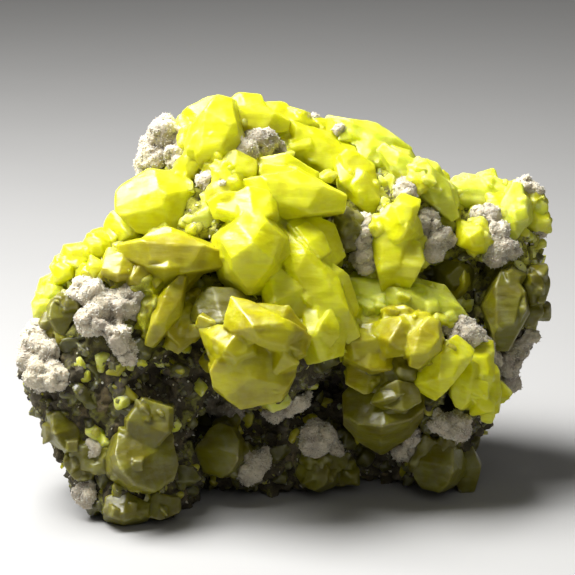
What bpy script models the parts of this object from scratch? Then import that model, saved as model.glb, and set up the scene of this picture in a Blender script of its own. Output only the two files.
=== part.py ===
"""Native sulfur crystals with white aragonite lumps, grown on a lump of limestone matrix.

The matrix is one solid, cut flat where it stands. Each group of sulfur crystals that grew into each
other is one solid, and so is each run of aragonite lumps. Every group ends on the matrix and on the
groups beside it, with a hairline gap. Sizes are in millimetres here, and become metres at the end.
"""

import math
import random
from collections import namedtuple

import bmesh
import bpy
from mathutils import Matrix, Vector, noise
from mathutils.bvhtree import BVHTree

MM = 0.001

# Driving dimensions, in millimetres
GAP = 0.3  # between solids that touch
ROCK_VOXEL = 1.3
ROCK_ROUGHNESS = 1.6
ROCK_GRAIN = 9.0  # how wide the rock's bumps are
ROCK_FACES = 1050
LUMP_VOXEL = 0.35
LUMP_FACES = 22  # for each lump of a run
TIDY = 0.85  # the share of a cut piece's triangles that is left when its slivers are closed up
BLOCK = 120.0  # the blank that a crystal is cut from
REACH = 60  # how far a sight line is followed past the layout plane

# Crystals and lumps are laid out on a plane that faces one viewpoint, by how far they are across and
# up from its middle. A sight line then carries each one back to the rock.
SIGHT_ELEVATION = math.radians(15)
SIGHT_DISTANCE = 450.0
PLANE_MIDDLE = Vector((0.0, 0.0, 34.0))
FRONT, REAR = 0.0, math.pi

# Sulfur is orthorhombic: these are its cell's proportions and the forms that it grows.
CELL = Vector((0.813, 1.903, 1.0))  # along a, c and b
FORMS = {"steep": (1, 1, 1), "flat": (1, 3, 1), "dome": (0, 1, 1), "base": (0, 1, 0)}
HABITS = {  # how far out each form lies, beside the crystal's own size: the nearer, the larger its faces
    "pyramid": {"steep": 0.88, "flat": 0.96},
    "blocky": {"steep": 0.92, "flat": 0.93, "base": 0.80},
    "simple": {"steep": 0.86, "dome": 1.00, "base": 0.82},
}
FACE_UNEVENNESS = 0.10  # how much one face's distance strays from its form's
BURIED = -0.62  # faces that turn further from the viewpoint than this are left to one plain back
LUMP_UNEVENNESS = 0.14
SEED = 29

LEMON, AMBER, OLIVE = "sulfur_lemon", "sulfur_amber", "sulfur_olive"
ARAGONITE, LIMESTONE = "aragonite", "limestone"
FINISHES = {  # colour and roughness
    LEMON: ((0.86, 0.83, 0.06), 0.28),
    AMBER: ((0.74, 0.60, 0.05), 0.26),
    OLIVE: ((0.50, 0.50, 0.06), 0.26),
    ARAGONITE: ((0.74, 0.70, 0.68), 0.85),
    LIMESTONE: ((0.42, 0.39, 0.33), 0.92),
}

Boulder = namedtuple("Boulder", "x y z across deep high")
# out: how far the middle stands out of the rock. wide, tall and deep are half sizes along a, c and b.
# roll turns the c axis clockwise from upright, lean tips it to the viewpoint, spin turns about it.
Crystal = namedtuple("Crystal", "across up out wide tall deep roll lean spin habit")
# A crystal whose seen faces are set one by one. Each has a parallel face behind, depth times as far.
HandCrystal = namedtuple("HandCrystal", "across up out depth faces")
Face = namedtuple("Face", "right up toward distance")
Lump = namedtuple("Lump", "across up out radius")
Group = namedtuple("Group", "name finish view members")

BOULDERS = [
    Boulder(-28.0, -7.0, 21.5, 14.5, 15.0, 19.0),
    Boulder(-38.0, -9.5, 23.6, 5.6, 8.0, 8.0),
    Boulder(-25.5, -4.0, 35.5, 9.5, 11.0, 8.8),
    Boulder(-10.5, 4.0, 44.0, 15.0, 16.0, 14.0),
    Boulder(-4.5, -4.0, 28.0, 14.0, 14.0, 13.0),
    Boulder(14.5, 9.0, 42.5, 14.0, 14.0, 10.5),
    Boulder(29.5, 12.0, 39.5, 9.5, 9.0, 8.6),
    Boulder(34.4, 10.0, 32.0, 8.2, 11.0, 16.5),
    Boulder(21.0, 0.0, 22.0, 12.0, 12.0, 12.5),
    Boulder(27.0, 0.0, 13.4, 7.4, 9.0, 9.6),
    Boulder(-25.0, -9.0, 5.0, 11.6, 13.0, 9.0),
    Boulder(-3.0, 4.0, 6.0, 17.0, 14.0, 11.0),
    Boulder(13.0, 5.0, 6.5, 9.0, 10.0, 9.0),
    Boulder(24.0, 2.0, 8.0, 8.0, 9.0, 12.0),
    Boulder(0.0, 14.0, 28.0, 28.0, 13.0, 22.0),
    Boulder(24.0, 14.0, 24.0, 14.0, 11.0, 17.0),
    Boulder(-22.0, 8.0, 24.0, 14.0, 13.0, 17.0),
]

SULFUR_GROUPS = [
    Group("crown_crystals", LEMON, FRONT, [
        Crystal(-12.6, 26.5, 3.2, 4.3, 6.0, 4.5, 40, 0, 20, "blocky"),
        Crystal(-14.0, 23.6, 4.6, 3.2, 3.8, 3.4, 10, 20, 50, "pyramid"),
        Crystal(-6.2, 28.3, 2.0, 3.7, 4.2, 4.0, 70, 0, 10, "blocky"),
        Crystal(-8.6, 26.8, 1.4, 3.0, 4.4, 3.8, 60, 10, 40, "simple"),
        Crystal(-2.4, 27.2, 1.8, 3.0, 4.0, 3.4, 110, 0, 0, "blocky"),
        Crystal(1.3, 27.4, 1.2, 2.4, 2.8, 2.6, 15, 0, 30, "simple"),
    ]),
    Group("ridge_crystals", LEMON, FRONT, [
        Crystal(5.2, 22.4, 3.6, 4.1, 8.4, 4.6, 120, 0, 15, "blocky"),
        Crystal(1.8, 23.2, 3.0, 3.8, 4.4, 4.0, 75, 20, 0, "simple"),
        Crystal(11.7, 17.6, 3.6, 3.5, 4.6, 3.8, 150, 15, 30, "pyramid"),
        Crystal(8.8, 20.6, 4.0, 3.6, 4.6, 3.6, 130, 0, 60, "simple"),
    ]),
    Group("lime_slope_crystals", LEMON, FRONT, [
        Crystal(13.6, 22.8, 1.6, 2.7, 7.4, 3.4, 116, 0, 20, "blocky"),
        Crystal(18.8, 20.2, 1.6, 2.8, 4.4, 3.4, 130, 0, 50, "simple"),
        Crystal(8.6, 25.4, 1.0, 1.8, 3.6, 2.6, 98, 0, 20, "simple"),
    ]),
    Group("saddle_crystals", LEMON, FRONT, [
        Crystal(23.2, 17.8, 1.8, 2.4, 4.0, 3.0, 130, 0, 20, "blocky"),
        Crystal(26.2, 15.4, 1.8, 2.0, 3.4, 2.4, 150, 0, 50, "simple"),
    ]),
    Group("oval_crystals", LEMON, FRONT, [
        Crystal(0.9, 15.2, 4.0, 3.3, 7.6, 3.6, 97, 0, 10, "blocky"),
        Crystal(-0.6, 18.8, 2.4, 2.8, 7.2, 3.2, 101, 0, 35, "simple"),
        Crystal(-8.6, 19.8, 1.4, 2.6, 4.0, 3.0, 96, 0, 20, "simple"),
    ]),
    Group("shoulder_crystals", LEMON, FRONT, [
        HandCrystal(-21.7, 14.0, 3.0, 0.9, [
            Face(-0.35, 0.60, 0.72, 3.8), Face(0.25, 0.70, 0.67, 4.1), Face(0.55, -0.10, 0.83, 4.2),
            Face(-0.05, -0.45, 0.89, 4.1), Face(-0.22, 0.22, 0.95, 3.8), Face(-0.97, 0.15, 0.20, 6.8),
            Face(0.10, 0.98, 0.10, 5.4), Face(0.97, 0.10, 0.10, 7.4), Face(-0.55, 0.83, 0.10, 5.5),
            Face(0.70, 0.70, 0.10, 6.0),
        ]),
        Crystal(-26.8, 9.8, 5.0, 3.0, 3.6, 3.6, 50, 0, 20, "blocky"),
    ]),
    Group("left_slope_crystals", LEMON, FRONT, [
        Crystal(-31.6, 6.0, 3.0, 2.4, 3.4, 3.0, 120, 0, 60, "blocky"),
        Crystal(-34.6, 4.6, 2.4, 2.1, 3.4, 2.8, 98, 0, 20, "blocky"),
        Crystal(-37.2, 3.0, 2.0, 1.8, 2.6, 2.4, 130, 0, 40, "simple"),
    ]),
    Group("shelf_crystals", OLIVE, FRONT, [
        Crystal(-19.7, 4.4, 4.2, 3.9, 6.6, 4.8, 93, 0, 8, "blocky"),
        Crystal(-22.9, 1.4, 3.0, 2.0, 2.4, 2.2, 20, 0, 40, "simple"),
        Crystal(-27.6, 3.0, 2.6, 2.4, 3.8, 2.6, 100, 0, 20, "simple"),
    ]),
    Group("heart_crystals", LEMON, FRONT, [
        HandCrystal(-5.7, 6.7, 4.6, 0.8, [
            Face(-0.28, 0.38, 0.88, 3.9), Face(0.62, 0.22, 0.75, 4.6), Face(0.0, -0.50, 0.87, 4.2),
            Face(0.20, 0.62, 0.76, 4.5), Face(-0.92, -0.10, 0.38, 5.9), Face(-0.70, -0.65, 0.30, 5.5),
            Face(0.72, -0.66, 0.20, 5.1), Face(-0.30, 0.93, 0.20, 7.4), Face(0.75, 0.60, 0.25, 5.7),
        ]),
        Crystal(-5.6, 13.0, 2.6, 3.0, 4.6, 3.4, 80, 0, 20, "blocky"),
        Crystal(-10.2, 13.8, 1.6, 2.2, 3.2, 2.6, 70, 0, 45, "simple"),
        Crystal(4.0, 7.4, 6.8, 3.6, 6.6, 4.4, 138, 0, 12, "simple"),
        Crystal(5.2, -0.8, 4.4, 4.0, 8.8, 4.2, 141, 0, 20, "blocky"),
        Crystal(-0.6, -1.8, 2.6, 3.4, 5.0, 3.4, 152, 0, 35, "simple"),
        Crystal(5.3, -7.2, 3.2, 3.8, 5.6, 3.8, 165, 0, 10, "simple"),
    ]),
    Group("prow_crystals", AMBER, FRONT, [
        HandCrystal(-6.0, -13.8, 5.0, 0.8, [
            Face(-0.35, -0.20, 0.91, 4.8), Face(0.05, -0.62, 0.78, 4.6), Face(0.30, 0.15, 0.94, 4.6),
            Face(-0.95, 0.05, 0.30, 7.4), Face(-0.60, -0.78, 0.10, 5.9), Face(0.10, -0.97, 0.20, 6.5),
            Face(0.85, -0.50, 0.10, 6.6), Face(0.97, 0.20, 0.10, 7.6), Face(-0.20, 0.95, 0.20, 6.6),
        ]),
        Crystal(-1.8, -7.4, 7.4, 2.9, 6.4, 4.0, 118, 0, 12, "blocky"),
        Crystal(-8.0, -8.8, 5.6, 3.4, 4.2, 3.4, 40, 0, 30, "pyramid"),
    ]),
    Group("glassy_crystal", OLIVE, FRONT, [
        Crystal(-11.2, -3.8, 2.0, 3.6, 4.4, 3.4, 70, 0, 20, "pyramid"),
    ]),
    Group("blade_crystals", AMBER, FRONT, [
        Crystal(-21.2, -4.2, 3.0, 1.7, 4.9, 2.6, 26, 0, 20, "simple"),
        Crystal(-17.8, -6.2, 2.6, 3.0, 3.8, 3.2, 150, 0, 30, "blocky"),
        Crystal(-17.2, -2.4, 3.0, 1.8, 2.4, 2.0, 50, 0, 60, "simple"),
    ]),
    Group("tower_crystals", LEMON, FRONT, [
        Crystal(18.5, 10.4, 2.6, 3.0, 4.0, 3.2, 20, 0, 15, "blocky"),
        Crystal(18.9, 4.2, 3.4, 3.6, 4.6, 3.8, 8, 0, 40, "blocky"),
    ]),
    Group("cavity_crystal", AMBER, FRONT, [
        Crystal(9.4, 9.4, 1.4, 1.9, 3.0, 2.2, 12, 0, 20, "simple"),
    ]),
    Group("ledge_crystals", LEMON, FRONT, [
        Crystal(14.4, -2.0, 3.4, 3.0, 6.8, 3.6, 114, 0, 15, "blocky"),
        Crystal(24.4, -3.0, 2.2, 2.8, 6.0, 3.6, 122, 0, 25, "blocky"),
        Crystal(19.6, -2.6, 2.6, 2.6, 3.6, 3.0, 100, 0, 40, "simple"),
        Crystal(11.6, -5.4, 2.2, 3.0, 3.4, 3.2, 60, 0, 0, "simple"),
    ]),
    Group("bluff_crystals", AMBER, FRONT, [
        Crystal(19.4, -6.0, 4.4, 2.8, 4.4, 3.2, 100, 0, 40, "simple"),
        Crystal(14.0, -10.4, 4.6, 4.2, 4.8, 4.2, 100, 0, 30, "blocky"),
        Crystal(22.0, -8.4, 5.0, 3.8, 4.6, 4.0, 60, 0, 20, "blocky"),
        Crystal(13.2, -14.8, 3.4, 2.2, 4.4, 3.0, 97, 0, 50, "simple"),
        Crystal(25.4, -12.6, 4.0, 2.9, 3.9, 3.2, 40, 0, 20, "simple"),
    ]),
    Group("corner_crystals", LEMON, FRONT, [
        Crystal(31.2, -16.0, 3.0, 3.8, 5.0, 4.0, 150, 0, 20, "pyramid"),
        Crystal(33.4, -18.2, 5.0, 1.9, 3.8, 2.8, 170, 0, 50, "simple"),
    ]),
    Group("shaded_crystals", OLIVE, FRONT, [
        Crystal(15.8, -20.4, 3.4, 4.8, 8.0, 4.6, 88, 0, 15, "blocky"),
        Crystal(18.8, -18.0, 6.0, 2.6, 4.0, 2.8, 80, 0, 40, "simple"),
    ]),
    Group("end_ridge_crystals", LEMON, FRONT, [
        Crystal(29.8, 16.4, 1.4, 2.0, 3.4, 2.6, 85, 0, 20, "simple"),
        Crystal(34.0, 15.9, 1.8, 2.2, 4.0, 2.8, 92, 0, 30, "blocky"),
        Crystal(37.8, 12.6, 2.4, 2.8, 4.2, 3.0, 20, 0, 20, "blocky"),
        Crystal(40.7, 12.8, 5.0, 1.8, 3.6, 3.4, 170, 0, 45, "simple"),
    ]),
    Group("hexagon_crystal", OLIVE, FRONT, [
        Crystal(31.2, 8.2, 2.6, 2.1, 2.3, 2.6, 30, 80, 15, "simple"),
    ]),
    Group("hollow_crystal", OLIVE, FRONT, [
        Crystal(28.2, 1.3, 1.2, 2.7, 3.2, 2.8, 10, 0, 15, "pyramid"),
    ]),
    Group("end_crystal", AMBER, FRONT, [
        Crystal(36.8, -3.0, 2.8, 3.0, 5.2, 3.2, 12, 0, 30, "blocky"),
    ]),
    Group("right_rim_crystals", OLIVE, FRONT, [
        Crystal(41.0, 0.4, 2.2, 1.9, 3.6, 3.0, 172, 0, 20, "simple"),
        Crystal(40.1, -4.0, 1.8, 1.6, 3.0, 3.0, 12, 0, 50, "simple"),
    ]),
    Group("left_rim_crystals", LEMON, FRONT, [
        Crystal(-38.9, 0.2, 1.4, 1.9, 2.6, 2.6, 40, 0, 50, "simple"),
        Crystal(-39.8, -2.8, 1.4, 1.7, 3.8, 2.8, 12, 0, 20, "blocky"),
    ]),
    Group("left_olive_crystal", OLIVE, FRONT, [
        Crystal(-37.4, -4.8, 1.8, 2.0, 3.8, 2.6, 170, 0, 30, "blocky"),
    ]),
    Group("foot_crystals", OLIVE, FRONT, [
        Crystal(-24.4, -28.4, 2.8, 5.6, 6.8, 5.0, 150, 0, 20, "blocky"),
        Crystal(-23.2, -22.6, 2.0, 4.2, 4.6, 4.0, 20, 0, 50, "simple"),
    ]),
    Group("toe_crystals", OLIVE, FRONT, [
        Crystal(-27.0, -36.8, 0.6, 2.2, 4.2, 2.4, 95, 0, 20, "simple"),
        Crystal(-21.4, -36.4, 0.6, 2.0, 4.2, 2.4, 88, 0, 40, "simple"),
    ]),
    Group("belly_crystal", OLIVE, FRONT, [
        Crystal(-11.0, -27.2, 2.6, 3.5, 5.2, 3.8, 15, 0, 30, "blocky"),
    ]),
    Group("flank_crystals", LEMON, FRONT, [
        Crystal(-37.2, -23.8, 1.4, 1.9, 4.2, 2.6, 160, 0, 20, "blocky"),
        Crystal(-34.7, -28.4, 2.0, 1.9, 4.0, 2.8, 165, 0, 50, "simple"),
    ]),
    Group("keel_crystals", OLIVE, FRONT, [
        Crystal(5.0, -31.0, 1.8, 3.0, 3.4, 3.0, 20, 0, 20, "blocky"),
        Crystal(9.4, -30.2, 1.6, 2.2, 3.2, 2.6, 160, 0, 40, "simple"),
    ]),
    Group("leg_crystals", OLIVE, FRONT, [
        Crystal(25.2, -29.4, 2.0, 3.6, 5.6, 3.6, 10, 0, 20, "blocky"),
        Crystal(29.8, -30.2, 0.8, 2.0, 5.2, 2.8, 176, 0, 45, "simple"),
    ]),
    Group("rear_crown_crystals", LEMON, REAR, [
        Crystal(6.0, 19.0, 0.6, 3.6, 5.4, 3.2, 50, 0, 20, "blocky"),
        Crystal(9.6, 16.4, 0.8, 3.0, 4.4, 3.0, 130, 0, 40, "simple"),
        Crystal(4.4, 15.0, 1.0, 3.0, 4.4, 3.0, 95, 0, 0, "simple"),
    ]),
    Group("rear_crystals", AMBER, REAR, [
        Crystal(-6.0, 2.0, 0.8, 4.6, 6.6, 3.6, 120, 0, 20, "blocky"),
        Crystal(0.2, 5.0, 0.8, 3.6, 5.0, 3.2, 40, 0, 50, "blocky"),
        Crystal(-3.0, -4.2, 0.8, 3.4, 4.8, 3.0, 160, 0, 10, "simple"),
    ]),
    Group("rear_foot_crystals", OLIVE, REAR, [
        Crystal(-22.0, -14.0, 0.8, 3.8, 5.8, 3.6, 110, 0, 20, "blocky"),
        Crystal(-16.8, -16.0, 0.8, 3.2, 4.4, 3.0, 30, 0, 45, "simple"),
    ]),
]

ARAGONITE_GROUPS = [
    Group("peak_aragonite", ARAGONITE, FRONT, [
        Lump(-20.4, 26.2, 0.6, 3.0), Lump(-21.0, 22.8, 1.0, 3.8), Lump(-18.3, 24.6, 1.0, 3.0),
        Lump(-22.2, 19.8, 1.2, 3.2), Lump(-17.8, 21.6, 1.6, 2.6),
    ]),
    Group("crown_aragonite", ARAGONITE, FRONT, [
        Lump(-6.0, 24.0, 4.6, 2.9), Lump(-8.4, 23.0, 4.4, 2.4), Lump(-3.2, 23.4, 4.6, 2.6),
    ]),
    Group("saddle_aragonite", ARAGONITE, FRONT, [
        Lump(-13.3, 18.0, 1.4, 1.9), Lump(-10.8, 16.8, 1.8, 1.6),
    ]),
    Group("pocket_aragonite", ARAGONITE, FRONT, [
        Lump(-26.0, -2.0, 1.0, 3.6), Lump(-24.2, -4.2, 0.8, 2.7), Lump(-28.4, -3.4, 0.8, 2.6),
        Lump(-32.2, -1.4, 1.2, 2.6), Lump(-32.4, -5.2, 1.0, 2.9), Lump(-28.3, -7.8, 1.6, 2.3),
        Lump(-27.0, -10.8, 1.0, 2.2), Lump(-34.6, -0.6, 1.8, 2.4),
    ]),
    Group("left_end_aragonite", ARAGONITE, FRONT, [
        Lump(-41.4, -8.8, 1.6, 3.0), Lump(-40.0, -10.8, 1.0, 2.4), Lump(-42.6, -12.2, 1.0, 2.5),
        Lump(-41.6, -14.6, 1.0, 2.7), Lump(-38.4, -14.8, 1.0, 2.4),
    ]),
    Group("flank_aragonite", ARAGONITE, FRONT, [
        Lump(-32.4, -26.8, 0.8, 1.9),
    ]),
    Group("heel_aragonite", ARAGONITE, FRONT, [
        Lump(-33.2, -34.4, 0.8, 2.4),
    ]),
    Group("prow_aragonite", ARAGONITE, FRONT, [
        Lump(-13.4, -18.8, 1.8, 2.6), Lump(-9.4, -20.8, 1.4, 2.4), Lump(-11.4, -19.8, 1.4, 2.0),
    ]),
    Group("seam_aragonite", ARAGONITE, FRONT, [
        Lump(1.4, -18.2, 2.4, 2.4), Lump(-0.2, -19.6, 2.0, 2.2), Lump(-2.2, -20.8, 1.6, 2.0),
    ]),
    Group("belly_aragonite", ARAGONITE, FRONT, [
        Lump(-6.2, -30.2, 1.2, 2.7), Lump(-4.2, -28.6, 0.8, 1.9),
    ]),
    Group("keel_aragonite", ARAGONITE, FRONT, [
        Lump(5.0, -25.2, 1.6, 3.3), Lump(7.2, -27.0, 0.8, 2.0),
    ]),
    Group("leg_aragonite", ARAGONITE, FRONT, [
        Lump(28.2, -23.4, 2.0, 2.6), Lump(25.2, -22.2, 1.4, 2.0),
    ]),
    Group("shade_aragonite", ARAGONITE, FRONT, [
        Lump(19.6, -27.2, 1.4, 2.3), Lump(21.2, -24.8, 1.2, 2.0),
    ]),
    Group("shelf_aragonite", ARAGONITE, FRONT, [
        Lump(29.6, -8.4, 2.2, 3.0), Lump(27.2, -6.6, 2.0, 2.4), Lump(32.2, -10.2, 3.4, 2.6),
        Lump(33.8, -12.0, 4.6, 2.2),
    ]),
    Group("right_end_aragonite", ARAGONITE, FRONT, [
        Lump(36.6, -12.8, 1.6, 2.5), Lump(36.4, -16.0, 2.4, 2.5), Lump(38.4, -10.4, 1.2, 2.2),
        Lump(40.0, -8.0, 1.2, 2.1),
    ]),
    Group("gully_aragonite", ARAGONITE, FRONT, [
        Lump(12.5, 8.8, 2.0, 2.3), Lump(12.9, 11.0, 1.6, 1.6), Lump(13.0, 4.6, 1.4, 2.5),
    ]),
    Group("slope_aragonite", ARAGONITE, FRONT, [
        Lump(19.5, 18.8, 1.4, 1.6), Lump(19.8, 16.2, 1.8, 2.3),
    ]),
    Group("notch_aragonite", ARAGONITE, FRONT, [
        Lump(23.6, 11.0, 1.4, 2.1), Lump(23.8, 6.6, 1.6, 2.5), Lump(26.2, 8.4, 1.4, 2.1),
    ]),
    Group("end_aragonite", ARAGONITE, FRONT, [
        Lump(33.2, 11.8, 2.0, 2.6), Lump(34.8, 9.2, 2.0, 2.3), Lump(36.2, 6.0, 1.2, 2.5),
        Lump(34.0, 5.4, 1.2, 2.1),
    ]),
    Group("cap_aragonite", ARAGONITE, FRONT, [
        Lump(39.2, 17.0, 1.0, 1.9), Lump(41.4, 16.2, 0.8, 1.5),
    ]),
    Group("rim_aragonite", ARAGONITE, FRONT, [
        Lump(42.2, 9.8, 0.8, 2.0),
    ]),
    Group("rear_crown_aragonite", ARAGONITE, REAR, [
        Lump(-2.6, 12.6, 1.4, 3.0), Lump(-6.4, 11.6, 1.2, 2.6), Lump(-4.8, 15.0, 1.2, 2.2),
    ]),
    Group("rear_flank_aragonite", ARAGONITE, REAR, [
        Lump(15.0, 5.4, 1.2, 3.2), Lump(12.0, 2.6, 1.2, 2.6), Lump(16.0, 1.0, 1.0, 2.2),
    ]),
    Group("rear_foot_aragonite", ARAGONITE, REAR, [
        Lump(6.0, -18.0, 1.2, 3.2), Lump(9.4, -20.0, 1.0, 2.4), Lump(2.8, -16.4, 1.0, 2.4),
    ]),
    Group("rear_end_aragonite", ARAGONITE, REAR, [
        Lump(-28.0, 4.0, 1.2, 3.0), Lump(-30.6, 1.0, 1.0, 2.4), Lump(-25.2, 2.2, 1.0, 2.2),
    ]),
]


def sight_axes(azimuth):
    """Unit vectors to the right, up and towards the viewpoint, for a viewpoint turned by azimuth."""
    turn = Matrix.Rotation(azimuth, 3, "Z")
    right = turn @ Vector((1, 0, 0))
    up = turn @ Vector((0, math.sin(SIGHT_ELEVATION), math.cos(SIGHT_ELEVATION)))
    return right, up, right.cross(up)


class Seats:
    """Finds where things laid out on the plane of one viewpoint meet the rock."""

    def __init__(self, rock_tree, azimuth):
        self.tree = rock_tree
        self.right, self.up, self.toward = sight_axes(azimuth)
        self.eye = PLANE_MIDDLE + self.toward * SIGHT_DISTANCE

    def at(self, across, up, out):
        through = PLANE_MIDDLE + self.right * across + self.up * up
        sight = (through - self.eye).normalized()
        hit = self.tree.ray_cast(self.eye, sight)[0]
        if hit is None:
            hit = self.nearest_pass(through, sight)
        return hit - sight * out

    def nearest_pass(self, through, sight):
        """The point of a sight line that misses the rock where it comes nearest to it."""
        steps = [through + sight * step for step in range(-REACH, REACH)]
        return min(steps, key=lambda point: self.tree.find_nearest(point)[3])

    def turned(self, vector):
        return self.right * vector.x + self.up * vector.y + self.toward * vector.z


def form_normals(form):
    """The unit normals of every face of a form, in the crystal's own axes (a, c, b)."""
    a, c, b = FORMS[form]
    a_signs = (1, -1) if a else (1,)
    b_signs = (1, -1) if b else (1,)
    return [
        Vector((i * a / CELL.x, j * c / CELL.y, k * b / CELL.z)).normalized()
        for i in a_signs
        for j in (1, -1)
        for k in b_signs
    ]


def grown_planes(crystal, chance):
    """The faces of a grown crystal, as normals and distances in the viewpoint's axes."""
    turn = (
        Matrix.Rotation(math.radians(-crystal.roll), 3, "Z")
        @ Matrix.Rotation(math.radians(crystal.lean), 3, "X")
        @ Matrix.Rotation(math.radians(crystal.spin), 3, "Y")
    )
    half = (crystal.wide, crystal.tall, crystal.deep)
    planes = [(Vector((0, 0, -1)), crystal.deep)]
    for form, nearness in HABITS[crystal.habit].items():
        for normal in form_normals(form):
            reach = Vector(part * size for part, size in zip(normal, half)).length
            uneven = 1 + chance.uniform(-FACE_UNEVENNESS, FACE_UNEVENNESS)
            if (turn @ normal).z > BURIED:
                planes.append((turn @ normal, reach * nearness * uneven))
    return planes


def set_planes(crystal):
    """The faces of a hand-set crystal and their parallels behind it, in the viewpoint's axes."""
    seen = [(Vector(face[:3]).normalized(), face.distance) for face in crystal.faces]
    return seen + [(-normal, distance * crystal.depth) for normal, distance in seen]


def convex_solid(planes):
    """A convex solid about the origin, cut from a block by one plane after another."""
    solid = bmesh.new()
    bmesh.ops.create_cube(solid, size=BLOCK)
    for normal, distance in planes:
        whole = solid.verts[:] + solid.edges[:] + solid.faces[:]
        cut = bmesh.ops.bisect_plane(
            solid, geom=whole, plane_co=normal * distance, plane_no=normal, clear_outer=True
        )
        rim = [item for item in cut["geom_cut"] if isinstance(item, bmesh.types.BMEdge)]
        if rim:
            bmesh.ops.contextual_create(solid, geom=rim)
    bmesh.ops.recalc_face_normals(solid, faces=solid.faces[:])
    return solid


def crystal_solid(crystal, seats, chance, margin):
    planes = set_planes(crystal) if isinstance(crystal, HandCrystal) else grown_planes(crystal, chance)
    return convex_solid([(seats.turned(normal), distance + margin) for normal, distance in planes])


def lump_solid(lump, chance):
    """A ball of aragonite, a little out of round."""
    solid = bmesh.new()
    bmesh.ops.create_icosphere(solid, subdivisions=3, radius=1.0)
    place = Vector((lump.across, lump.up, lump.radius))
    for vert in solid.verts:
        vert.co *= lump.radius * (1 + LUMP_UNEVENNESS * noise.noise(vert.co + place))
    turn = Matrix.Rotation(chance.uniform(0, math.tau), 3, Vector((1, 2, 3)))
    bmesh.ops.rotate(solid, cent=(0, 0, 0), matrix=turn, verts=solid.verts[:])
    return solid


def member_object(member, seats, seed, margin=0.0):
    """One crystal or lump as its own object, in place. A margin makes a crystal larger all round."""
    chance = random.Random(seed)
    if isinstance(member, Lump):
        solid = lump_solid(member, chance)
    else:
        solid = crystal_solid(member, seats, chance, margin)
    bmesh.ops.translate(solid, vec=seats.at(member.across, member.up, member.out), verts=solid.verts[:])
    return mesh_object("helper", solid)


def mesh_object(name, solid):
    mesh = bpy.data.meshes.new(name)
    solid.to_mesh(mesh)
    solid.free()
    piece = bpy.data.objects.new(name, mesh)
    bpy.context.scene.collection.objects.link(piece)
    return piece


def evaluated_mesh(piece):
    graph = bpy.context.evaluated_depsgraph_get()
    return bpy.data.meshes.new_from_object(piece.evaluated_get(graph))


def settle_modifiers(piece):
    piece.data = evaluated_mesh(piece)
    piece.modifiers.clear()


def boolean(piece, operation, helpers):
    for helper in helpers:
        step = piece.modifiers.new(operation.title(), "BOOLEAN")
        step.operation = operation
        step.object = helper
    settle_modifiers(piece)


def remove(helpers):
    for helper in helpers:
        bpy.data.objects.remove(helper)


def islands(solid):
    """The connected sets of faces of a bmesh."""
    left = set(solid.faces)
    while left:
        island, fringe = set(), {left.pop()}
        while fringe:
            face = fringe.pop()
            island.add(face)
            beside = {other for edge in face.edges for other in edge.link_faces}
            fringe |= beside - island
        left -= island
        yield island


def drop_chips(piece):
    """Keeps the largest body of a piece that its neighbours cut into several."""
    solid = bmesh.new()
    solid.from_mesh(piece.data)
    bodies = sorted(islands(solid), key=lambda faces: sum(face.calc_area() for face in faces))
    chips = [face for body in bodies[:-1] for face in body]
    bmesh.ops.delete(solid, geom=chips, context="FACES")
    solid.to_mesh(piece.data)
    solid.free()


def grow_together(piece, voxel):
    """Makes one closed skin of everything in a piece."""
    remesh = piece.modifiers.new("Grow together", "REMESH")
    remesh.mode = "VOXEL"
    remesh.voxel_size = voxel
    settle_modifiers(piece)


def triangle_count(piece):
    return sum(len(face.vertices) - 2 for face in piece.data.polygons)


def thin_faces(piece, ratio):
    """Closes up the shortest and flattest triangles until this share of them is left."""
    thin = piece.modifiers.new("Thin", "DECIMATE")
    thin.ratio = ratio
    settle_modifiers(piece)


def rock_object():
    """The matrix: boulders grown into one lump, roughened and thinned to plain faces."""
    solid = bmesh.new()
    for boulder in BOULDERS:
        ball = bmesh.ops.create_icosphere(solid, subdivisions=3, radius=1.0)["verts"]
        bmesh.ops.scale(solid, vec=(boulder.across, boulder.deep, boulder.high), verts=ball)
        bmesh.ops.translate(solid, vec=(boulder.x, boulder.y, boulder.z), verts=ball)
    rock = mesh_object("matrix", solid)
    grow_together(rock, ROCK_VOXEL)
    normals = [vert.normal.copy() for vert in rock.data.vertices]
    for vert, normal in zip(rock.data.vertices, normals):
        vert.co += normal * ROCK_ROUGHNESS * noise.fractal(vert.co / ROCK_GRAIN, 0.9, 2.1, 3)
    thin_faces(rock, ROCK_FACES / triangle_count(rock))
    return rock


def ground_object():
    """Everything below the surface that the specimen stands on."""
    ground = bmesh.new()
    bmesh.ops.create_cube(ground, size=2 * BLOCK)
    bmesh.ops.translate(ground, vec=(0, 0, -BLOCK), verts=ground.verts[:])
    return mesh_object("ground", ground)


def swollen_copy(piece, margin):
    """A copy of a piece, moved out by the margin all round, to cut its neighbours with."""
    swollen = bpy.data.objects.new("helper", piece.data.copy())
    bpy.context.scene.collection.objects.link(swollen)
    normals = [vert.normal.copy() for vert in swollen.data.vertices]
    for vert, normal in zip(swollen.data.vertices, normals):
        vert.co += normal * margin
    return swollen


def corners(piece):
    points = [vert.co for vert in piece.data.vertices]
    return [(min(p[i] for p in points), max(p[i] for p in points)) for i in range(3)]


def near(one, other):
    return all(a[0] < b[1] and b[0] < a[1] for a, b in zip(corners(one), corners(other)))


def crystals_object(group, seats):
    """A group's crystals as one solid, and each of them a gap larger to cut their neighbours with."""
    seeds = [SEED + index for index in range(len(group.members))]
    members = [member_object(member, seats, seed) for member, seed in zip(group.members, seeds)]
    outlines = [member_object(member, seats, seed, GAP) for member, seed in zip(group.members, seeds)]
    boolean(members[0], "UNION", members[1:])
    remove(members[1:])
    return members[0], outlines


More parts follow.
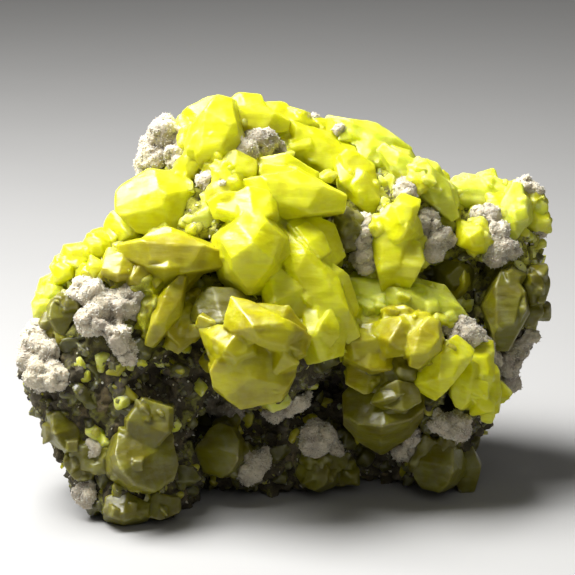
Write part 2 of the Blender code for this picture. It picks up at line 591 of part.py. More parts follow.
def lumps_object(group, seats):
    """A run of lumps as one solid, and a copy of it a gap larger."""
    members = [member_object(member, seats, SEED + index) for index, member in enumerate(group.members)]
    run = bmesh.new()
    for member in members:
        run.from_mesh(member.data)
    remove(members)
    piece = mesh_object("helper", run)
    grow_together(piece, LUMP_VOXEL)
    thin_faces(piece, LUMP_FACES * len(group.members) / triangle_count(piece))
    return piece, [swollen_copy(piece, GAP)]


def group_object(group, seats, cutters):
    """A group grown into one solid, and cut back from its neighbours and from the rock."""
    build = lumps_object if group.finish == ARAGONITE else crystals_object
    piece, outlines = build(group, seats)
    boolean(piece, "DIFFERENCE", [cutter for cutter in cutters if near(piece, cutter)])
    drop_chips(piece)
    thin_faces(piece, TIDY)
    piece.name = group.name
    piece.data.name = group.name
    return piece, outlines


def finish_material(name):
    colour, roughness = FINISHES[name]
    material = bpy.data.materials.new(name)
    material.use_nodes = True
    shader = material.node_tree.nodes["Principled BSDF"]
    shader.inputs["Base Color"].default_value = (*colour, 1)
    shader.inputs["Roughness"].default_value = roughness
    shader.inputs["Metallic"].default_value = 0.0
    return material


def base_middle(pieces):
    """The middle of the bounding box of all the pieces, on the ground."""
    boxes = [corners(piece) for piece in pieces]
    low = [min(box[i][0] for box in boxes) for i in range(3)]
    high = [max(box[i][1] for box in boxes) for i in range(3)]
    return Vector(((low[0] + high[0]) / 2, (low[1] + high[1]) / 2, 0))


def main():
    for leftover in list(bpy.data.objects):
        bpy.data.objects.remove(leftover)
    materials = {name: finish_material(name) for name in FINISHES}

    rock = rock_object()
    ground = ground_object()
    boolean(rock, "DIFFERENCE", [ground])
    drop_chips(rock)
    rock_shape = bmesh.new()
    rock_shape.from_mesh(rock.data)
    rock_tree = BVHTree.FromBMesh(rock_shape)
    rock_shape.free()

    finishes = {rock: LIMESTONE}
    cutters = [ground, swollen_copy(rock, GAP)]
    for group in SULFUR_GROUPS + ARAGONITE_GROUPS:
        seats = Seats(rock_tree, group.view)
        piece, outlines = group_object(group, seats, cutters)
        finishes[piece] = group.finish
        cutters += outlines
    remove(cutters)

    place = Matrix.Scale(MM, 4) @ Matrix.Translation(-base_middle(finishes))
    for piece, finish in finishes.items():
        piece.data.transform(place)
        piece.data.materials.clear()
        piece.data.materials.append(materials[finish])
        if finish == ARAGONITE:
            piece.data.shade_smooth()


main()
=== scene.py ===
"""Looks of a native sulfur specimen: lemon crystals and aragonite lumps on a limestone matrix.

Each operator finishes one kind of piece. It copies the plain solids, remeshes them finely, gives
them their natural surface and paints them. Sizes in the settings are in metres, as in the frame.
"""

import math
import random
from collections import namedtuple
from itertools import product
from operator import mul

import bpy
import numpy as np
from mathutils import Matrix, Vector
from mathutils.bvhtree import BVHTree


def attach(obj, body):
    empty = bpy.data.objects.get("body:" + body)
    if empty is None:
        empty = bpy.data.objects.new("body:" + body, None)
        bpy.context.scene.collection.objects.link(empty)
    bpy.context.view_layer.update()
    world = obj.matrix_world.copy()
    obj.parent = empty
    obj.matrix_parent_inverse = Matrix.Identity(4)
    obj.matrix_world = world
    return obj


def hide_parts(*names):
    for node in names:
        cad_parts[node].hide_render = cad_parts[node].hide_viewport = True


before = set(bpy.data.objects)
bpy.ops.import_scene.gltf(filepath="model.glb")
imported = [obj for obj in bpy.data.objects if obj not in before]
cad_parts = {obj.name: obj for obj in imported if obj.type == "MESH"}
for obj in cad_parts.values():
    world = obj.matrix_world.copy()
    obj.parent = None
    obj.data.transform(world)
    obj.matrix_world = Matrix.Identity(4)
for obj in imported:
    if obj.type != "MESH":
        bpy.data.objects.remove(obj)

bl_info = {
    "name": "Sulfur Specimen",
    "version": (1, 0, 0),
    "blender": (4, 5, 0),
    "location": "View3D > Sidebar > Specimen",
    "description": "Finishes the crystals, aragonite and matrix of a native sulfur specimen",
    "category": "Object",
}

MM = 0.001
BODY = "root"

# Smaller crystals that grow out of a group: how many on a square centimetre, and the half length
# in millimetres of the largest
Overgrowth = namedtuple("Overgrowth", "density largest")
CLEAN = None
SPARSE = Overgrowth(2.5, 1.8)
POWDERY = Overgrowth(4.5, 2.4)
BLOCKY = Overgrowth(5, 2.6)
STEPPED = Overgrowth(5, 2.2)

# Nodes that share a finish, and what grows out of each
LEMON_NODES = {
    "crown_crystals": SPARSE, "ridge_crystals": SPARSE, "oval_crystals": CLEAN,
    "shoulder_crystals": CLEAN, "left_slope_crystals": STEPPED, "heart_crystals": CLEAN,
    "tower_crystals": CLEAN, "corner_crystals": BLOCKY, "hexagon_crystal": CLEAN,
    "rear_crown_crystals": BLOCKY,
}
LIME_NODES = {
    "lime_slope_crystals": SPARSE, "saddle_crystals": STEPPED,
    "ledge_crystals": Overgrowth(6, 2.6), "end_ridge_crystals": POWDERY,
    "left_rim_crystals": POWDERY,
}
AMBER_NODES = {
    "prow_crystals": Overgrowth(1.5, 3.2), "blade_crystals": Overgrowth(3, 2.4),
    "cavity_crystal": CLEAN, "bluff_crystals": SPARSE, "shelf_crystals": CLEAN,
    "rear_crystals": BLOCKY, "hollow_crystal": CLEAN,
}
# The low crystals: their dark greenish yellow is a shaded copy of the lemon, painted shade
SHADED_OLIVE_NODES = {
    "glassy_crystal": CLEAN, "shaded_crystals": CLEAN, "right_rim_crystals": BLOCKY,
    "left_olive_crystal": SPARSE, "foot_crystals": SPARSE, "toe_crystals": SPARSE,
    "belly_crystal": CLEAN, "keel_crystals": BLOCKY, "leg_crystals": CLEAN,
    "rear_foot_crystals": BLOCKY, "end_crystal": CLEAN, "flank_crystals": POWDERY,
}
ARAGONITE_NODES = tuple(sorted(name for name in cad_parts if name.endswith("_aragonite")))
# Amber groups that the bright seams reach, and crystals that no seam reaches
SEAM_MATES = ("shelf_crystals", "blade_crystals", "prow_crystals", "bluff_crystals")
SOLITARY = ("hexagon_crystal", "glassy_crystal", "hollow_crystal", "end_crystal")

# Skins of sulfur: the record's slot, the share of pale etched skin, which also strengthens the
# painted highlight on the edges, and how far the body turns to deeper yellow in its clouds
Skin = namedtuple("Skin", "slot frost depth")
CRYSTAL_SKINS = {
    "lemon": Skin("sulfur_lemon", 0.3, 0.5),
    "lime": Skin("sulfur_lemon", 0.75, 0.4),
    "amber": Skin("sulfur_amber", 0.15, 0.8),
    "olive": Skin("sulfur_olive", 0.35, 0.8),
}
SEAM_SKINS = {
    "lemon": Skin("sulfur_lemon", 0.5, 0.8),
    "olive": Skin("sulfur_olive", 0.4, 0.8),
}
DRUSE_SKINS = {
    "lemon": Skin("sulfur_lemon", 0.3, 0.6),
    "lime": Skin("sulfur_lemon", 0.9, 0.6),
    "amber": Skin("sulfur_amber", 0.2, 0.6),
    "moss": Skin("sulfur_olive", 0.2, 0.6),
}

# The small crystals that all others are copies of
SEEDS = 10
SEED_BLOCK = 2.6  # width of the block that one is cut from
SEED_REACH = 1.1  # how far one reaches from its middle
# Faces of crystals whose cuts are listed one by one: a direction to the right, towards the camera
# and up, and its distance from the middle
CUTS = {
    "heart": (
        ((0.02, 0.86, -0.50), 0.66), ((-0.50, 0.78, 0.36), 0.74), ((0.60, 0.70, 0.38), 0.76),
        ((0.04, 0.66, 0.75), 0.84), ((-0.90, 0.30, -0.30), 0.86), ((0.93, 0.25, -0.20), 0.88),
        ((-0.62, 0.30, -0.72), 0.88), ((0.66, 0.30, -0.70), 0.90), ((-0.66, 0.20, 0.72), 0.96),
        ((0.70, 0.20, 0.70), 0.94),
    ),
    "slab": (
        ((-0.12, 0.97, 0.16), 0.62), ((0.72, 0.66, -0.10), 0.78), ((-0.78, 0.60, 0.06), 0.80),
        ((0.05, 0.72, 0.68), 0.84), ((0.12, 0.60, -0.78), 0.86), ((0.84, 0.10, 0.50), 0.92),
        ((-0.82, 0.10, 0.54), 0.90), ((0.78, 0.10, -0.60), 0.92), ((-0.86, 0.05, -0.48), 0.94),
    ),
    "block": (
        ((0.10, 0.93, 0.35), 0.64), ((0.80, 0.56, 0.20), 0.78), ((-0.75, 0.60, -0.28), 0.76),
        ((0.15, 0.36, 0.92), 0.80), ((-0.10, 0.45, -0.88), 0.84), ((0.95, -0.10, -0.28), 0.86),
        ((-0.90, -0.10, 0.42), 0.86), ((0.48, 0.62, -0.62), 0.88), ((-0.44, 0.50, 0.74), 0.86),
    ),
}
# Crystals that stand out in front of their group: place on the sight plane, half length and half
# width in millimetres, the turn of the long axis in degrees, how far its middle lies behind the
# surface in half widths, and the name of its cut if it has one of the listed cuts
Feature = namedtuple("Feature", "across up length width turn sink cut", defaults=(0.72, ""))


def slab(across, up, length, width, turn, sink=0.4):
    """A long flat crystal."""
    return Feature(across, up, length, width, turn, sink, "slab")


def block(across, up, length, width, turn, sink=0.4):
    """A short thick crystal."""
    return Feature(across, up, length, width, turn, sink, "block")


FEATURES = {
    "crown_crystals": (
        slab(-12.0, 25.4, 5.0, 4.0, 78, 0.45), slab(-5.4, 27.8, 4.4, 2.6, -8, 0.35),
        block(1.2, 27.2, 3.4, 2.2, -14), Feature(-9.4, 19.4, 2.0, 1.7, 20),
    ),
    "ridge_crystals": (
        slab(4.8, 22.8, 8.0, 3.4, -33), Feature(11.6, 19.8, 5.0, 2.6, -46, 0.6),
        slab(12.5, 16.2, 3.6, 2.7, -60),
    ),
    "oval_crystals": (
        slab(0.6, 15.4, 6.8, 3.6, -8), Feature(-0.5, 18.6, 5.4, 1.8, -14),
    ),
    "heart_crystals": (
        Feature(3.9, 7.4, 4.2, 2.6, -50), slab(4.6, 0.2, 8.2, 3.6, -54),
        Feature(-8.4, 12.6, 4.2, 2.3, -14), Feature(5.9, -7.2, 3.6, 2.9, 70),
        Feature(-6.0, 6.2, 5.4, 4.9, 90, 0.2, "heart"),
    ),
    "shelf_crystals": (
        slab(-19.2, 5.4, 6.8, 3.3, -4), block(-24.6, 2.0, 3.0, 2.4, 30),
    ),
    "tower_crystals": (
        slab(17.6, 6.4, 5.6, 3.3, 86), block(19.2, 12.0, 2.8, 2.4, 80),
    ),
    "left_slope_crystals": (
        Feature(-33.7, 5.2, 3.0, 2.0, 20), Feature(-28.6, 8.4, 3.2, 1.8, 35),
    ),
    "blade_crystals": (
        slab(-20.2, -3.8, 4.8, 2.0, 65, 0.35), Feature(-16.6, -2.4, 3.4, 2.2, 25),
        Feature(-17.4, -7.0, 3.4, 2.6, 60), Feature(-12.6, -6.2, 3.0, 2.0, -30),
    ),
    "prow_crystals": (
        block(-3.2, -7.2, 5.4, 2.9, -14, 0.3), block(-8.4, -9.6, 3.8, 3.4, 20),
        Feature(-12.4, -12.4, 2.6, 1.9, -30),
    ),
    "bluff_crystals": (
        block(18.8, -8.2, 3.8, 3.4, 30), block(12.6, -10.0, 4.0, 3.2, -15),
        slab(13.0, -4.6, 3.8, 2.8, 10), block(17.8, -12.8, 3.8, 2.4, -8),
        slab(23.0, -9.4, 3.2, 2.6, 70),
    ),
    "ledge_crystals": (
        slab(14.4, -0.6, 5.0, 2.4, -10), slab(20.4, -2.6, 4.2, 2.3, -20),
        slab(25.3, -2.8, 4.2, 2.3, -32),
    ),
    "corner_crystals": (
        block(26.4, -13.4, 4.2, 2.8, 62), block(31.6, -14.0, 4.0, 3.0, 95),
        Feature(29.8, -16.6, 4.8, 2.4, 80), Feature(33.8, -18.4, 3.6, 1.7, 82),
    ),
    "belly_crystal": (Feature(17.8, -18.2, 3.8, 2.6, 15),),
    "end_crystal": (
        slab(36.6, -3.8, 5.2, 3.4, 88), block(37.4, 1.2, 2.2, 2.0, 70),
    ),
    "lime_slope_crystals": (
        slab(13.4, 25.2, 5.8, 2.3, -21), slab(15.8, 22.0, 5.4, 2.2, -34),
        slab(19.8, 19.6, 4.4, 2.1, -42),
    ),
    "end_ridge_crystals": (
        slab(32.0, 15.4, 6.4, 2.6, -4), slab(37.4, 11.6, 4.6, 2.6, 80),
    ),
    "saddle_crystals": (slab(24.6, 16.4, 4.6, 2.3, -55),),
    "hexagon_crystal": (block(31.3, 8.2, 2.3, 2.3, 0, 0.3),),
    "glassy_crystal": (block(27.9, 1.8, 2.8, 2.6, 10),),
    "crown_aragonite": (
        Feature(-7.4, 22.6, 2.7, 2.5, 10, -0.1), Feature(-4.7, 24.2, 3.2, 2.8, 0, -0.15),
        Feature(-1.9, 22.8, 2.8, 2.5, 0, -0.1), Feature(4.2, 28.0, 1.0, 1.0, 0, 0.4),
        Feature(8.7, 26.3, 1.2, 1.2, 0, 0.4),
    ),
    "saddle_aragonite": (
        Feature(-13.5, 17.7, 1.6, 1.5, 0, 0.3), Feature(-10.9, 16.9, 1.2, 1.1, 0, 0.3),
    ),
}

# How a pattern raises and sinks a surface: the kind of texture, its own values, whether it goes in
# or out, and its level of rest
Pattern = namedtuple("Pattern", "texture values direction rest")
PATTERNS = {
    "facets": Pattern("VORONOI", {"distance_metric": "MANHATTAN"}, -1, 0.5),
    "lobes": Pattern("VORONOI", {"distance_metric": "DISTANCE_SQUARED"}, -1, 0.3),
    "clouds": Pattern("CLOUDS", {"noise_depth": 3}, 1, 0.5),
}
# How a surface is carved: a pattern, the size of its cells and the height of its relief
Relief = namedtuple("Relief", "pattern size height")
OPEN_ROCK = (Relief("clouds", 6.0 * MM, 4.0 * MM), Relief("lobes", 2.8 * MM, 2.0 * MM))
ALL_ROCK = (
    Relief("facets", 2.2 * MM, 0.9 * MM),
    Relief("clouds", 1.4 * MM, 1.4 * MM),
    Relief("clouds", 0.6 * MM, 0.4 * MM),
)
STEPS = Relief("facets", 3.2 * MM, 0.12 * MM)
CLEAN_CRYSTAL = (Relief("clouds", 4.5 * MM, 0.3 * MM), STEPS)
ROUGH_CRYSTAL = (Relief("clouds", 4.5 * MM, 0.6 * MM), STEPS)
FUSED_SEAM = (Relief("facets", 2.0 * MM, 0.7 * MM), Relief("clouds", 2.4 * MM, 0.6 * MM))
CRUST = (Relief("clouds", 1.6 * MM, 0.4 * MM),)

# Angles in degrees below which two faces look smooth, and shares of triangles that thinning keeps
CREASE = 50
ROCK_CREASE = 60
GRAIN_CREASE = 30
KEPT = 0.3
SEAM_KEPT = 0.5

SKIRT_REACH = 1.6 * MM  # how near a growth the rock rises to meet it
# Fused seams: mesh size, how far they lie under the crystals, and how far they sink near aragonite
# and in pockets
SEAM_MESH = 0.4 * MM
SEAM_UNDER = 0.65 * MM
SEAM_REACH = 2.4 * MM
SEAM_SUNK = 2.4 * MM

# Half widths of small crystals and of grains, in millimetres
Span = namedtuple("Span", "smallest largest")
BETWEEN_SPAN = Span(1.1, 2.2)
FRONT_SPAN = Span(0.7, 1.7)
BACK_SPAN = Span(0.6, 1.8)
CRUMB_SPAN = Span(0.25, 0.65)
ROCK_GRAIN_SPAN = Span(0.10, 0.28)
SUGAR_SPAN = Span(0.08, 0.15)
# Heights over the stand in millimetres: dark crystals below, a mixture, then bright ones above;
# the darker crystals low down are painted shade
MIXED_ABOVE = 26
BRIGHT_ABOVE = 40
HEIGHT_SPREAD = 7
# Shares of the small crystals: amber anywhere, lemon among the bright, and the dark crust of
# painted shade among the low ones
AMBER_SHARE = 0.12
LEMON_SHARE = 0.7
SHADED_MOSS_SHARE = 0.92

TRIES = 30  # places that are tried for each one wanted
LOWEST = 1.2 * MM  # nothing grows lower on the rock
FULL_TURN = 6.28
CM2_PER_M2 = 1e4

# The sight plane stands at the specimen's middle and faces the camera. Places on it are given in
# millimetres across and up from that middle.
MIDDLE = Vector((-0.444, -1.046, 34.0)) * MM
ELEVATION = math.radians(15)
DISTANCE = 450 * MM
FIELD = 95.833 * MM  # the width of the sight plane that the camera sees
TOWARD = Vector((0, -math.cos(ELEVATION), math.sin(ELEVATION)))
UPWARD = Vector((0, math.sin(ELEVATION), math.cos(ELEVATION)))
EYE = MIDDLE + TOWARD * DISTANCE
SENSOR = 36.0  # width of the camera's sensor in millimetres

# Where the lamps hang and how wide their soft faces are, in metres
Lamp = namedtuple("Lamp", "place width")
KEY = Lamp((-0.17, 0.0, 0.365), 0.25)
FILL = Lamp((0.12, -0.52, 0.42), 0.40)
FLOOR_WIDTH = 6

# Dark hollows in the front of the rock: place and radius on the sight plane, depth as a share
Pocket = namedtuple("Pocket", "across up radius depth")
DEEPEST = 5.0 * MM
POCKETS = (
    Pocket(-10.9, 3.4, 2.6, 1.0), Pocket(-20.5, -16.4, 4.0, 0.9), Pocket(32.0, 2.4, 3.6, 1.0),
    Pocket(9.8, 10.8, 2.6, 0.8), Pocket(13.5, 13.0, 2.6, 0.7), Pocket(10.0, 5.6, 2.0, 0.7),
    Pocket(-4.0, -23.5, 4.0, 0.7), Pocket(27.4, -20.2, 3.0, 0.7), Pocket(-29.0, 1.2, 1.8, 0.6),
)


# ---- settings ----


def colour_property(name, description, default):
    return bpy.props.FloatVectorProperty(
        name=name, description=description, default=default, size=3, subtype="COLOR", min=0, max=1
    )


def length_property(name, description, default):
    return bpy.props.FloatProperty(
        name=name, description=description, default=default, min=0, unit="LENGTH", precision=5
    )


def count_property(name, description, default):
    return bpy.props.IntProperty(name=name, description=description, default=default, min=0)


def strength_property(name, description, default, unit="NONE"):
    return bpy.props.FloatProperty(
        name=name, description=description, default=default, min=0, unit=unit
    )


class SulfurSettings(bpy.types.PropertyGroup):
    """Sizes and colours of the sulfur crystals."""

    lemon: colour_property("Lemon", "Body colour of the brightest crystals", (0.93, 0.965, 0.014))
    lime: colour_property("Lime", "Body colour of the pale, powdery crystals", (0.82, 0.90, 0.060))
    amber: colour_property("Amber", "Body colour of the deep yellow crystals", (0.60, 0.57, 0.006))
    # Dark body colour of the low crystals, a shaded copy of the lemon: painted shade
    olive: colour_property("Olive", "Body colour of the shaded crystals", (0.235, 0.225, 0.006))
    # Dark colour of the crust low on the rock, painted shade
    moss: colour_property("Moss", "Body colour of the crust low on the rock", (0.13, 0.127, 0.008))
    speck: colour_property("Speck", "Colour of specks on frosted skin", (0.34, 0.33, 0.14))
    clarity: bpy.props.FloatProperty(
        name="Clarity", description="Share of light that goes straight through", default=0.46,
        min=0, max=1, subtype="FACTOR",
    )
    overgrowth: strength_property("Overgrowth", "Scales how many crystals grow on others", 1.0)
    mesh_size: length_property("Mesh size", "Width of a mesh face before thinning", 0.00019)
    seam: length_property("Seam", "Half the widest gap that fused sulfur fills", 0.0014)
    growth: length_property("Growth", "How far the surface is grown past the solid", 0.00016)
    glow: length_property("Glow", "How far light spreads under the surface", 0.0018)


class AragoniteSettings(bpy.types.PropertyGroup):
    """Sizes and colours of the aragonite lumps."""

    white: colour_property("White", "Colour of the raised grains", (0.56, 0.50, 0.37))
    # Lilac grey of random patches; darkened to half it is also the painted shade in the hollows
    lilac_and_shade: colour_property("Lilac grey", "Colour in the hollows", (0.27, 0.23, 0.195))
    cream: colour_property("Cream", "Colour of warm patches", (0.55, 0.50, 0.28))
    # Pale colour on the sharpest edges: a painted highlight
    edge_highlight: colour_property("Crest", "Colour of the sharpest edges", (0.68, 0.64, 0.53))
    mesh_size: length_property("Mesh size", "Width of a mesh face", 0.00024)
    lobe: length_property("Lobe", "Width of a rounded lobe", 0.0026)
    grain: length_property("Grain", "Width of a sugary grain", 0.0006)


class MatrixSettings(bpy.types.PropertyGroup):
    """Sizes and colours of the limestone matrix."""

    marl: colour_property("Marl", "Main grey-brown colour", (0.058, 0.047, 0.020))
    # The colour of the pits is painted shade in the hollows of the rock
    shade: colour_property("Shade", "Colour of the pits", (0.045, 0.035, 0.018))
    ash: colour_property("Ash", "Lilac-grey patches", (0.10, 0.087, 0.064))
    clay: colour_property("Clay", "Brown veins", (0.20, 0.15, 0.07))
    stain: colour_property("Stain", "Sulfur dust on the rock", (0.20, 0.20, 0.03))
    dust: colour_property("Dust", "Sulfur dust high on the rock", (0.46, 0.45, 0.04))
    mesh_size: length_property("Mesh size", "Width of a mesh face", 0.00042)
    skirt: length_property("Skirt", "How far the rock rises to meet what grows on it", 0.00045)


class DruseSettings(bpy.types.PropertyGroup):
    """Numbers and sizes of the small crystals and grains."""

    between: count_property("Between", "Crystals in the gaps between groups", 420)
    front: count_property("Front crystals", "Small crystals on the open front", 620)
    back: count_property("Back crystals", "Small crystals on the barer back", 260)
    crumbs: count_property("Crumbs", "Smallest crystals, all round", 2200)
    mesh_size: length_property("Mesh size", "Width of a mesh face of the crust", 0.00026)
    rock_grains: count_property("Rock grains", "Aragonite grains on the rock", 1600)
    sugar: count_property("Sugar", "Grains that cover the aragonite lumps", 17500)
    seed: count_property("Seed", "Changes where they grow", 7)


class StageSettings(bpy.types.PropertyGroup):
    """Floor, lights and camera."""

    floor: colour_property("Floor", "Colour of the floor", (0.34, 0.336, 0.329))
    key: strength_property("Key light", "Strength of the light from above", 5.3, "POWER")
    fill: strength_property("Fill light", "Strength of the light from the front", 0.4, "POWER")
    room: strength_property("Room light", "Strength of the light from all round", 0.12)
    distance: length_property("Camera distance", "From the camera to the middle", DISTANCE)
    elevation: bpy.props.FloatProperty(
        name="Camera elevation", description="Angle of the camera above the horizon",
        default=ELEVATION, subtype="ANGLE", unit="ROTATION",
    )


# ---- making and shaping pieces ----


def select_only(piece):
    bpy.ops.object.select_all(action="DESELECT")
    piece.select_set(True)
    bpy.context.view_layer.objects.active = piece


def primitive(add, **values):
    """Adds a primitive in the middle, with nothing else selected."""
    bpy.ops.object.select_all(action="DESELECT")
    add(location=(0, 0, 0), **values)
    return bpy.context.object


def copy_of_node(node, name):
    """A new object with a merged copy of a CAD node's mesh."""
    piece = bpy.data.objects.new(name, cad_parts[node].data.copy())
    bpy.context.scene.collection.objects.link(piece)
    piece.data.name = name
    piece.data.materials.clear()
    select_only(piece)
    bpy.ops.object.mode_set(mode="EDIT")
    bpy.ops.mesh.select_all(action="SELECT")
    bpy.ops.mesh.remove_doubles(threshold=1e-6)
    bpy.ops.object.mode_set(mode="OBJECT")
    return piece


def apply_modifier(piece, kind, **values):
    """Adds a modifier with these values and applies it."""
    modifier = piece.modifiers.new(kind.title(), kind)
    for name, value in values.items():
        setattr(modifier, name, value)
    select_only(piece)
    bpy.ops.object.modifier_apply(modifier=modifier.name)


def remesh(piece, size, smoothing):
    apply_modifier(piece, "REMESH", mode="VOXEL", voxel_size=size, adaptivity=0.0)
    if smoothing:
        apply_modifier(piece, "SMOOTH", factor=0.5, iterations=smoothing)


def thin_out(piece, share):
    """Keeps this share of the triangles, fewest where the surface is flat."""
    apply_modifier(piece, "DECIMATE", ratio=share)
    apply_modifier(piece, "SMOOTH", factor=0.25, iterations=1)


def carve(piece, reliefs, group=""):
    """Raises and sinks the surface by one pattern after another."""
    for relief in reliefs:
        pattern = PATTERNS[relief.pattern]
        texture = bpy.data.textures.new(relief.pattern, pattern.texture)
        texture.noise_scale = relief.size
        for name, value in pattern.values.items():
            setattr(texture, name, value)
        apply_modifier(
            piece, "DISPLACE", texture=texture, texture_coords="LOCAL",
            strength=pattern.direction * relief.height, mid_level=pattern.rest,
            direction="NORMAL", vertex_group=group,
        )
        bpy.data.textures.remove(texture)


def swell(piece, distance, group=""):
    apply_modifier(
        piece, "DISPLACE", strength=distance, mid_level=0.0, direction="NORMAL", vertex_group=group
    )


def positions(piece):
    places = np.empty(len(piece.data.vertices) * 3, np.float32)
    piece.data.vertices.foreach_get("co", places)
    return places.reshape(-1, 3)


def normals(piece):
    facing = np.empty(len(piece.data.vertices) * 3, np.float32)
    piece.data.vertex_normals.foreach_get("vector", facing)
    return facing.reshape(-1, 3)


def finish_piece(piece, material, crease, nodes=()):
    """Flattens the foot, shades and paints a piece, and puts it in the place of its nodes."""
    places = positions(piece)
    places[:, 2] = np.maximum(places[:, 2], 0.0)
    piece.data.vertices.foreach_set("co", places.ravel())
    piece.data.update()
    select_only(piece)
    bpy.ops.object.shade_smooth_by_angle(angle=math.radians(crease))
    piece.data.materials.clear()
    piece.data.materials.append(material)
    if nodes:
        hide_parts(*nodes)
    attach(piece, BODY)


def on_sight_plane(point):
    """Where the camera sees a point, in millimetres across and up on the sight plane."""
    ray = point - EYE
    ray *= DISTANCE / -ray.dot(TOWARD)
    return ray.x / MM, ray.dot(UPWARD) / MM


# ---- materials ----


class Finish:
    """A node material whose patterns are measured in millimetres of the specimen."""

    def __init__(self, name):
        self.material = bpy.data.materials.new(name)
        self.material.use_nodes = True
        self.tree = self.material.node_tree
        self.shader = self.tree.nodes["Principled BSDF"]
        place = self.node("TexCoord").outputs["Object"]
        self.place = self.node("Mapping", place, Scale=[1 / MM] * 3).outputs["Vector"]

    def link(self, source, target):
        self.tree.links.new(source, target)

    def set(self, **values):
        for name, value in values.items():
            self.shader.inputs[name.replace("_", " ")].default_value = value

    def node(self, kind, place=None, **values):
        """Adds a node, links the place that it reads and sets its sockets."""
        node = self.tree.nodes.new(f"ShaderNode{kind}")
        if place:
            self.link(place, node.inputs["Vector"])
        for name, value in values.items():
            node.inputs[name.replace("_", " ")].default_value = value
        return node

    def stretched(self, scale, turn):
        """The place, turned and stretched, for patterns that run one way."""
        turned = [math.radians(angle) for angle in turn]
        return self.node("Mapping", self.place, Scale=scale, Rotation=turned).outputs["Vector"]

    def noise(self, width, detail=3.0, roughness=0.55, distortion=0.0, place=None):
        """Soft noise with bumps about that many millimetres wide."""
        node = self.node(
            "TexNoise", place or self.place, Scale=1 / width, Detail=detail, Roughness=roughness,
            Distortion=distortion,
        )
        return node.outputs["Fac"]

    def cells(self, width, feature="F1", place=None):
        node = self.node("TexVoronoi", place or self.place)
        node.feature = feature
        node.inputs["Scale"].default_value = 1 / width
        return node.outputs["Distance"]

    def height(self, low, high):
        """0 below one height and 1 above another, in millimetres over the stand."""
        return self.between(self.node("SeparateXYZ", self.place).outputs["Z"], low, high)

    def hollow(self, low, high):
        """0 in hollows and 1 on edges, read from the mesh."""
        return self.between(self.node("NewGeometry").outputs["Pointiness"], low, high)

    def between(self, value, low, high, to_low=0.0, to_high=1.0):
        """Maps a value smoothly from one range to another."""
        node = self.node("MapRange", From_Min=low, From_Max=high, To_Min=to_low, To_Max=to_high)
        node.interpolation_type = "SMOOTHSTEP"
        self.link(value, node.inputs["Value"])
        return node.outputs["Result"]

    def times(self, value, factor):
        node = self.node("Math")
        node.operation = "MULTIPLY"
        self.feed(value, node.inputs[0])
        self.feed(factor, node.inputs[1])
        return node.outputs["Value"]

    def feed(self, value, socket):
        """Links a socket to another, or sets its colour or number."""
        if isinstance(value, bpy.types.NodeSocket):
            self.link(value, socket)
        elif hasattr(value, "__len__") and len(value) == 3:
            socket.default_value = (*value, 1.0)
        else:
            socket.default_value = value

    def mix(self, first, second, share):
        """Mixes two colours. Their sockets share names with others, so they go by number."""
        node = self.node("Mix")
        node.data_type = "RGBA"
        for value, number in ((share, 0), (first, 6), (second, 7)):
            self.feed(value, node.inputs[number])
        return node.outputs[2]

    def bump(self, heights):
        """Chains bumps, each a height pattern with its depth in millimetres."""
        normal = None
        for height, depth in heights:
            node = self.node("Bump", Strength=1.0, Distance=depth * MM)
            self.link(height, node.inputs["Height"])
            if normal:
                self.link(normal, node.inputs["Normal"])
            normal = node.outputs["Normal"]
        self.link(normal, self.shader.inputs["Normal"])

    def colour(self, source):
        self.link(source, self.shader.inputs["Base Color"])

    def roughness(self, source):
        self.link(source, self.shader.inputs["Roughness"])


def tinted(colour, factor, white=0.0):
    """A colour made darker or lighter, and moved towards white."""
    return tuple(min(1.0, (part * (1 - white) + white) * factor) for part in colour)


def sulfur_finish(name, tint, settings, skin):
    """Translucent resinous sulfur."""
    body = tuple(getattr(settings, tint))
    frost = skin.frost
    deep = (body[0] * 0.70, body[1] * 0.62, body[2] * 0.3)
    pale = tinted(body, 1.04, 0.12 + 0.22 * frost)
    speck = tuple(settings.speck)
    finish = Finish(name)
    clouds = finish.noise(4.5, 3, 0.5)
    veils = finish.noise(2.6, 4, 0.55, 0.3)
    streaks = finish.noise(1.1, 3, 0.5, 0.0, finish.stretched((0.22, 1.0, 1.6), (20, 35, 50)))
    specks = finish.noise(0.6, 3, 0.6)
    steps = finish.cells(1.5, "SMOOTH_F1", finish.stretched((0.5, 1.0, 1.3), (15, 40, 20)))
    clouded = finish.mix(body, deep, finish.between(clouds, 0.58, 0.40, 0.0, skin.depth))
    veiled = finish.mix(clouded, pale, finish.between(veils, 0.40, 0.80, 0.0, 0.6 * frost + 0.2))
    streaked = finish.mix(veiled, deep, finish.between(streaks, 0.56, 0.40, 0.0, 0.22))
    # Pale on the sharpest edges: partly etched frost and partly a painted highlight
    edges = finish.times(finish.hollow(0.51, 0.60), 0.5 + 0.4 * frost)
    frosted_and_highlit = finish.mix(streaked, pale, edges)
    finish.colour(finish.mix(frosted_and_highlit, speck, finish.between(specks, 0.66, 0.80, 0.0, 0.3 * frost)))
    finish.roughness(finish.between(veils, 0.40, 0.70, 0.26 + 0.22 * frost, 0.42 + 0.30 * frost))
    finish.bump([(clouds, 0.15), (steps, 0.18), (streaks, 0.10), (specks, 0.01 + 0.05 * frost)])
    finish.set(
        IOR=1.6,
        Specular_IOR_Level=0.22,
        Transmission_Weight=settings.clarity * (1 - 0.5 * frost),
        Subsurface_Weight=1.0,
        Subsurface_Radius=(1.0, 0.94, 0.06),
        Subsurface_Scale=settings.glow,
    )
    return finish.material


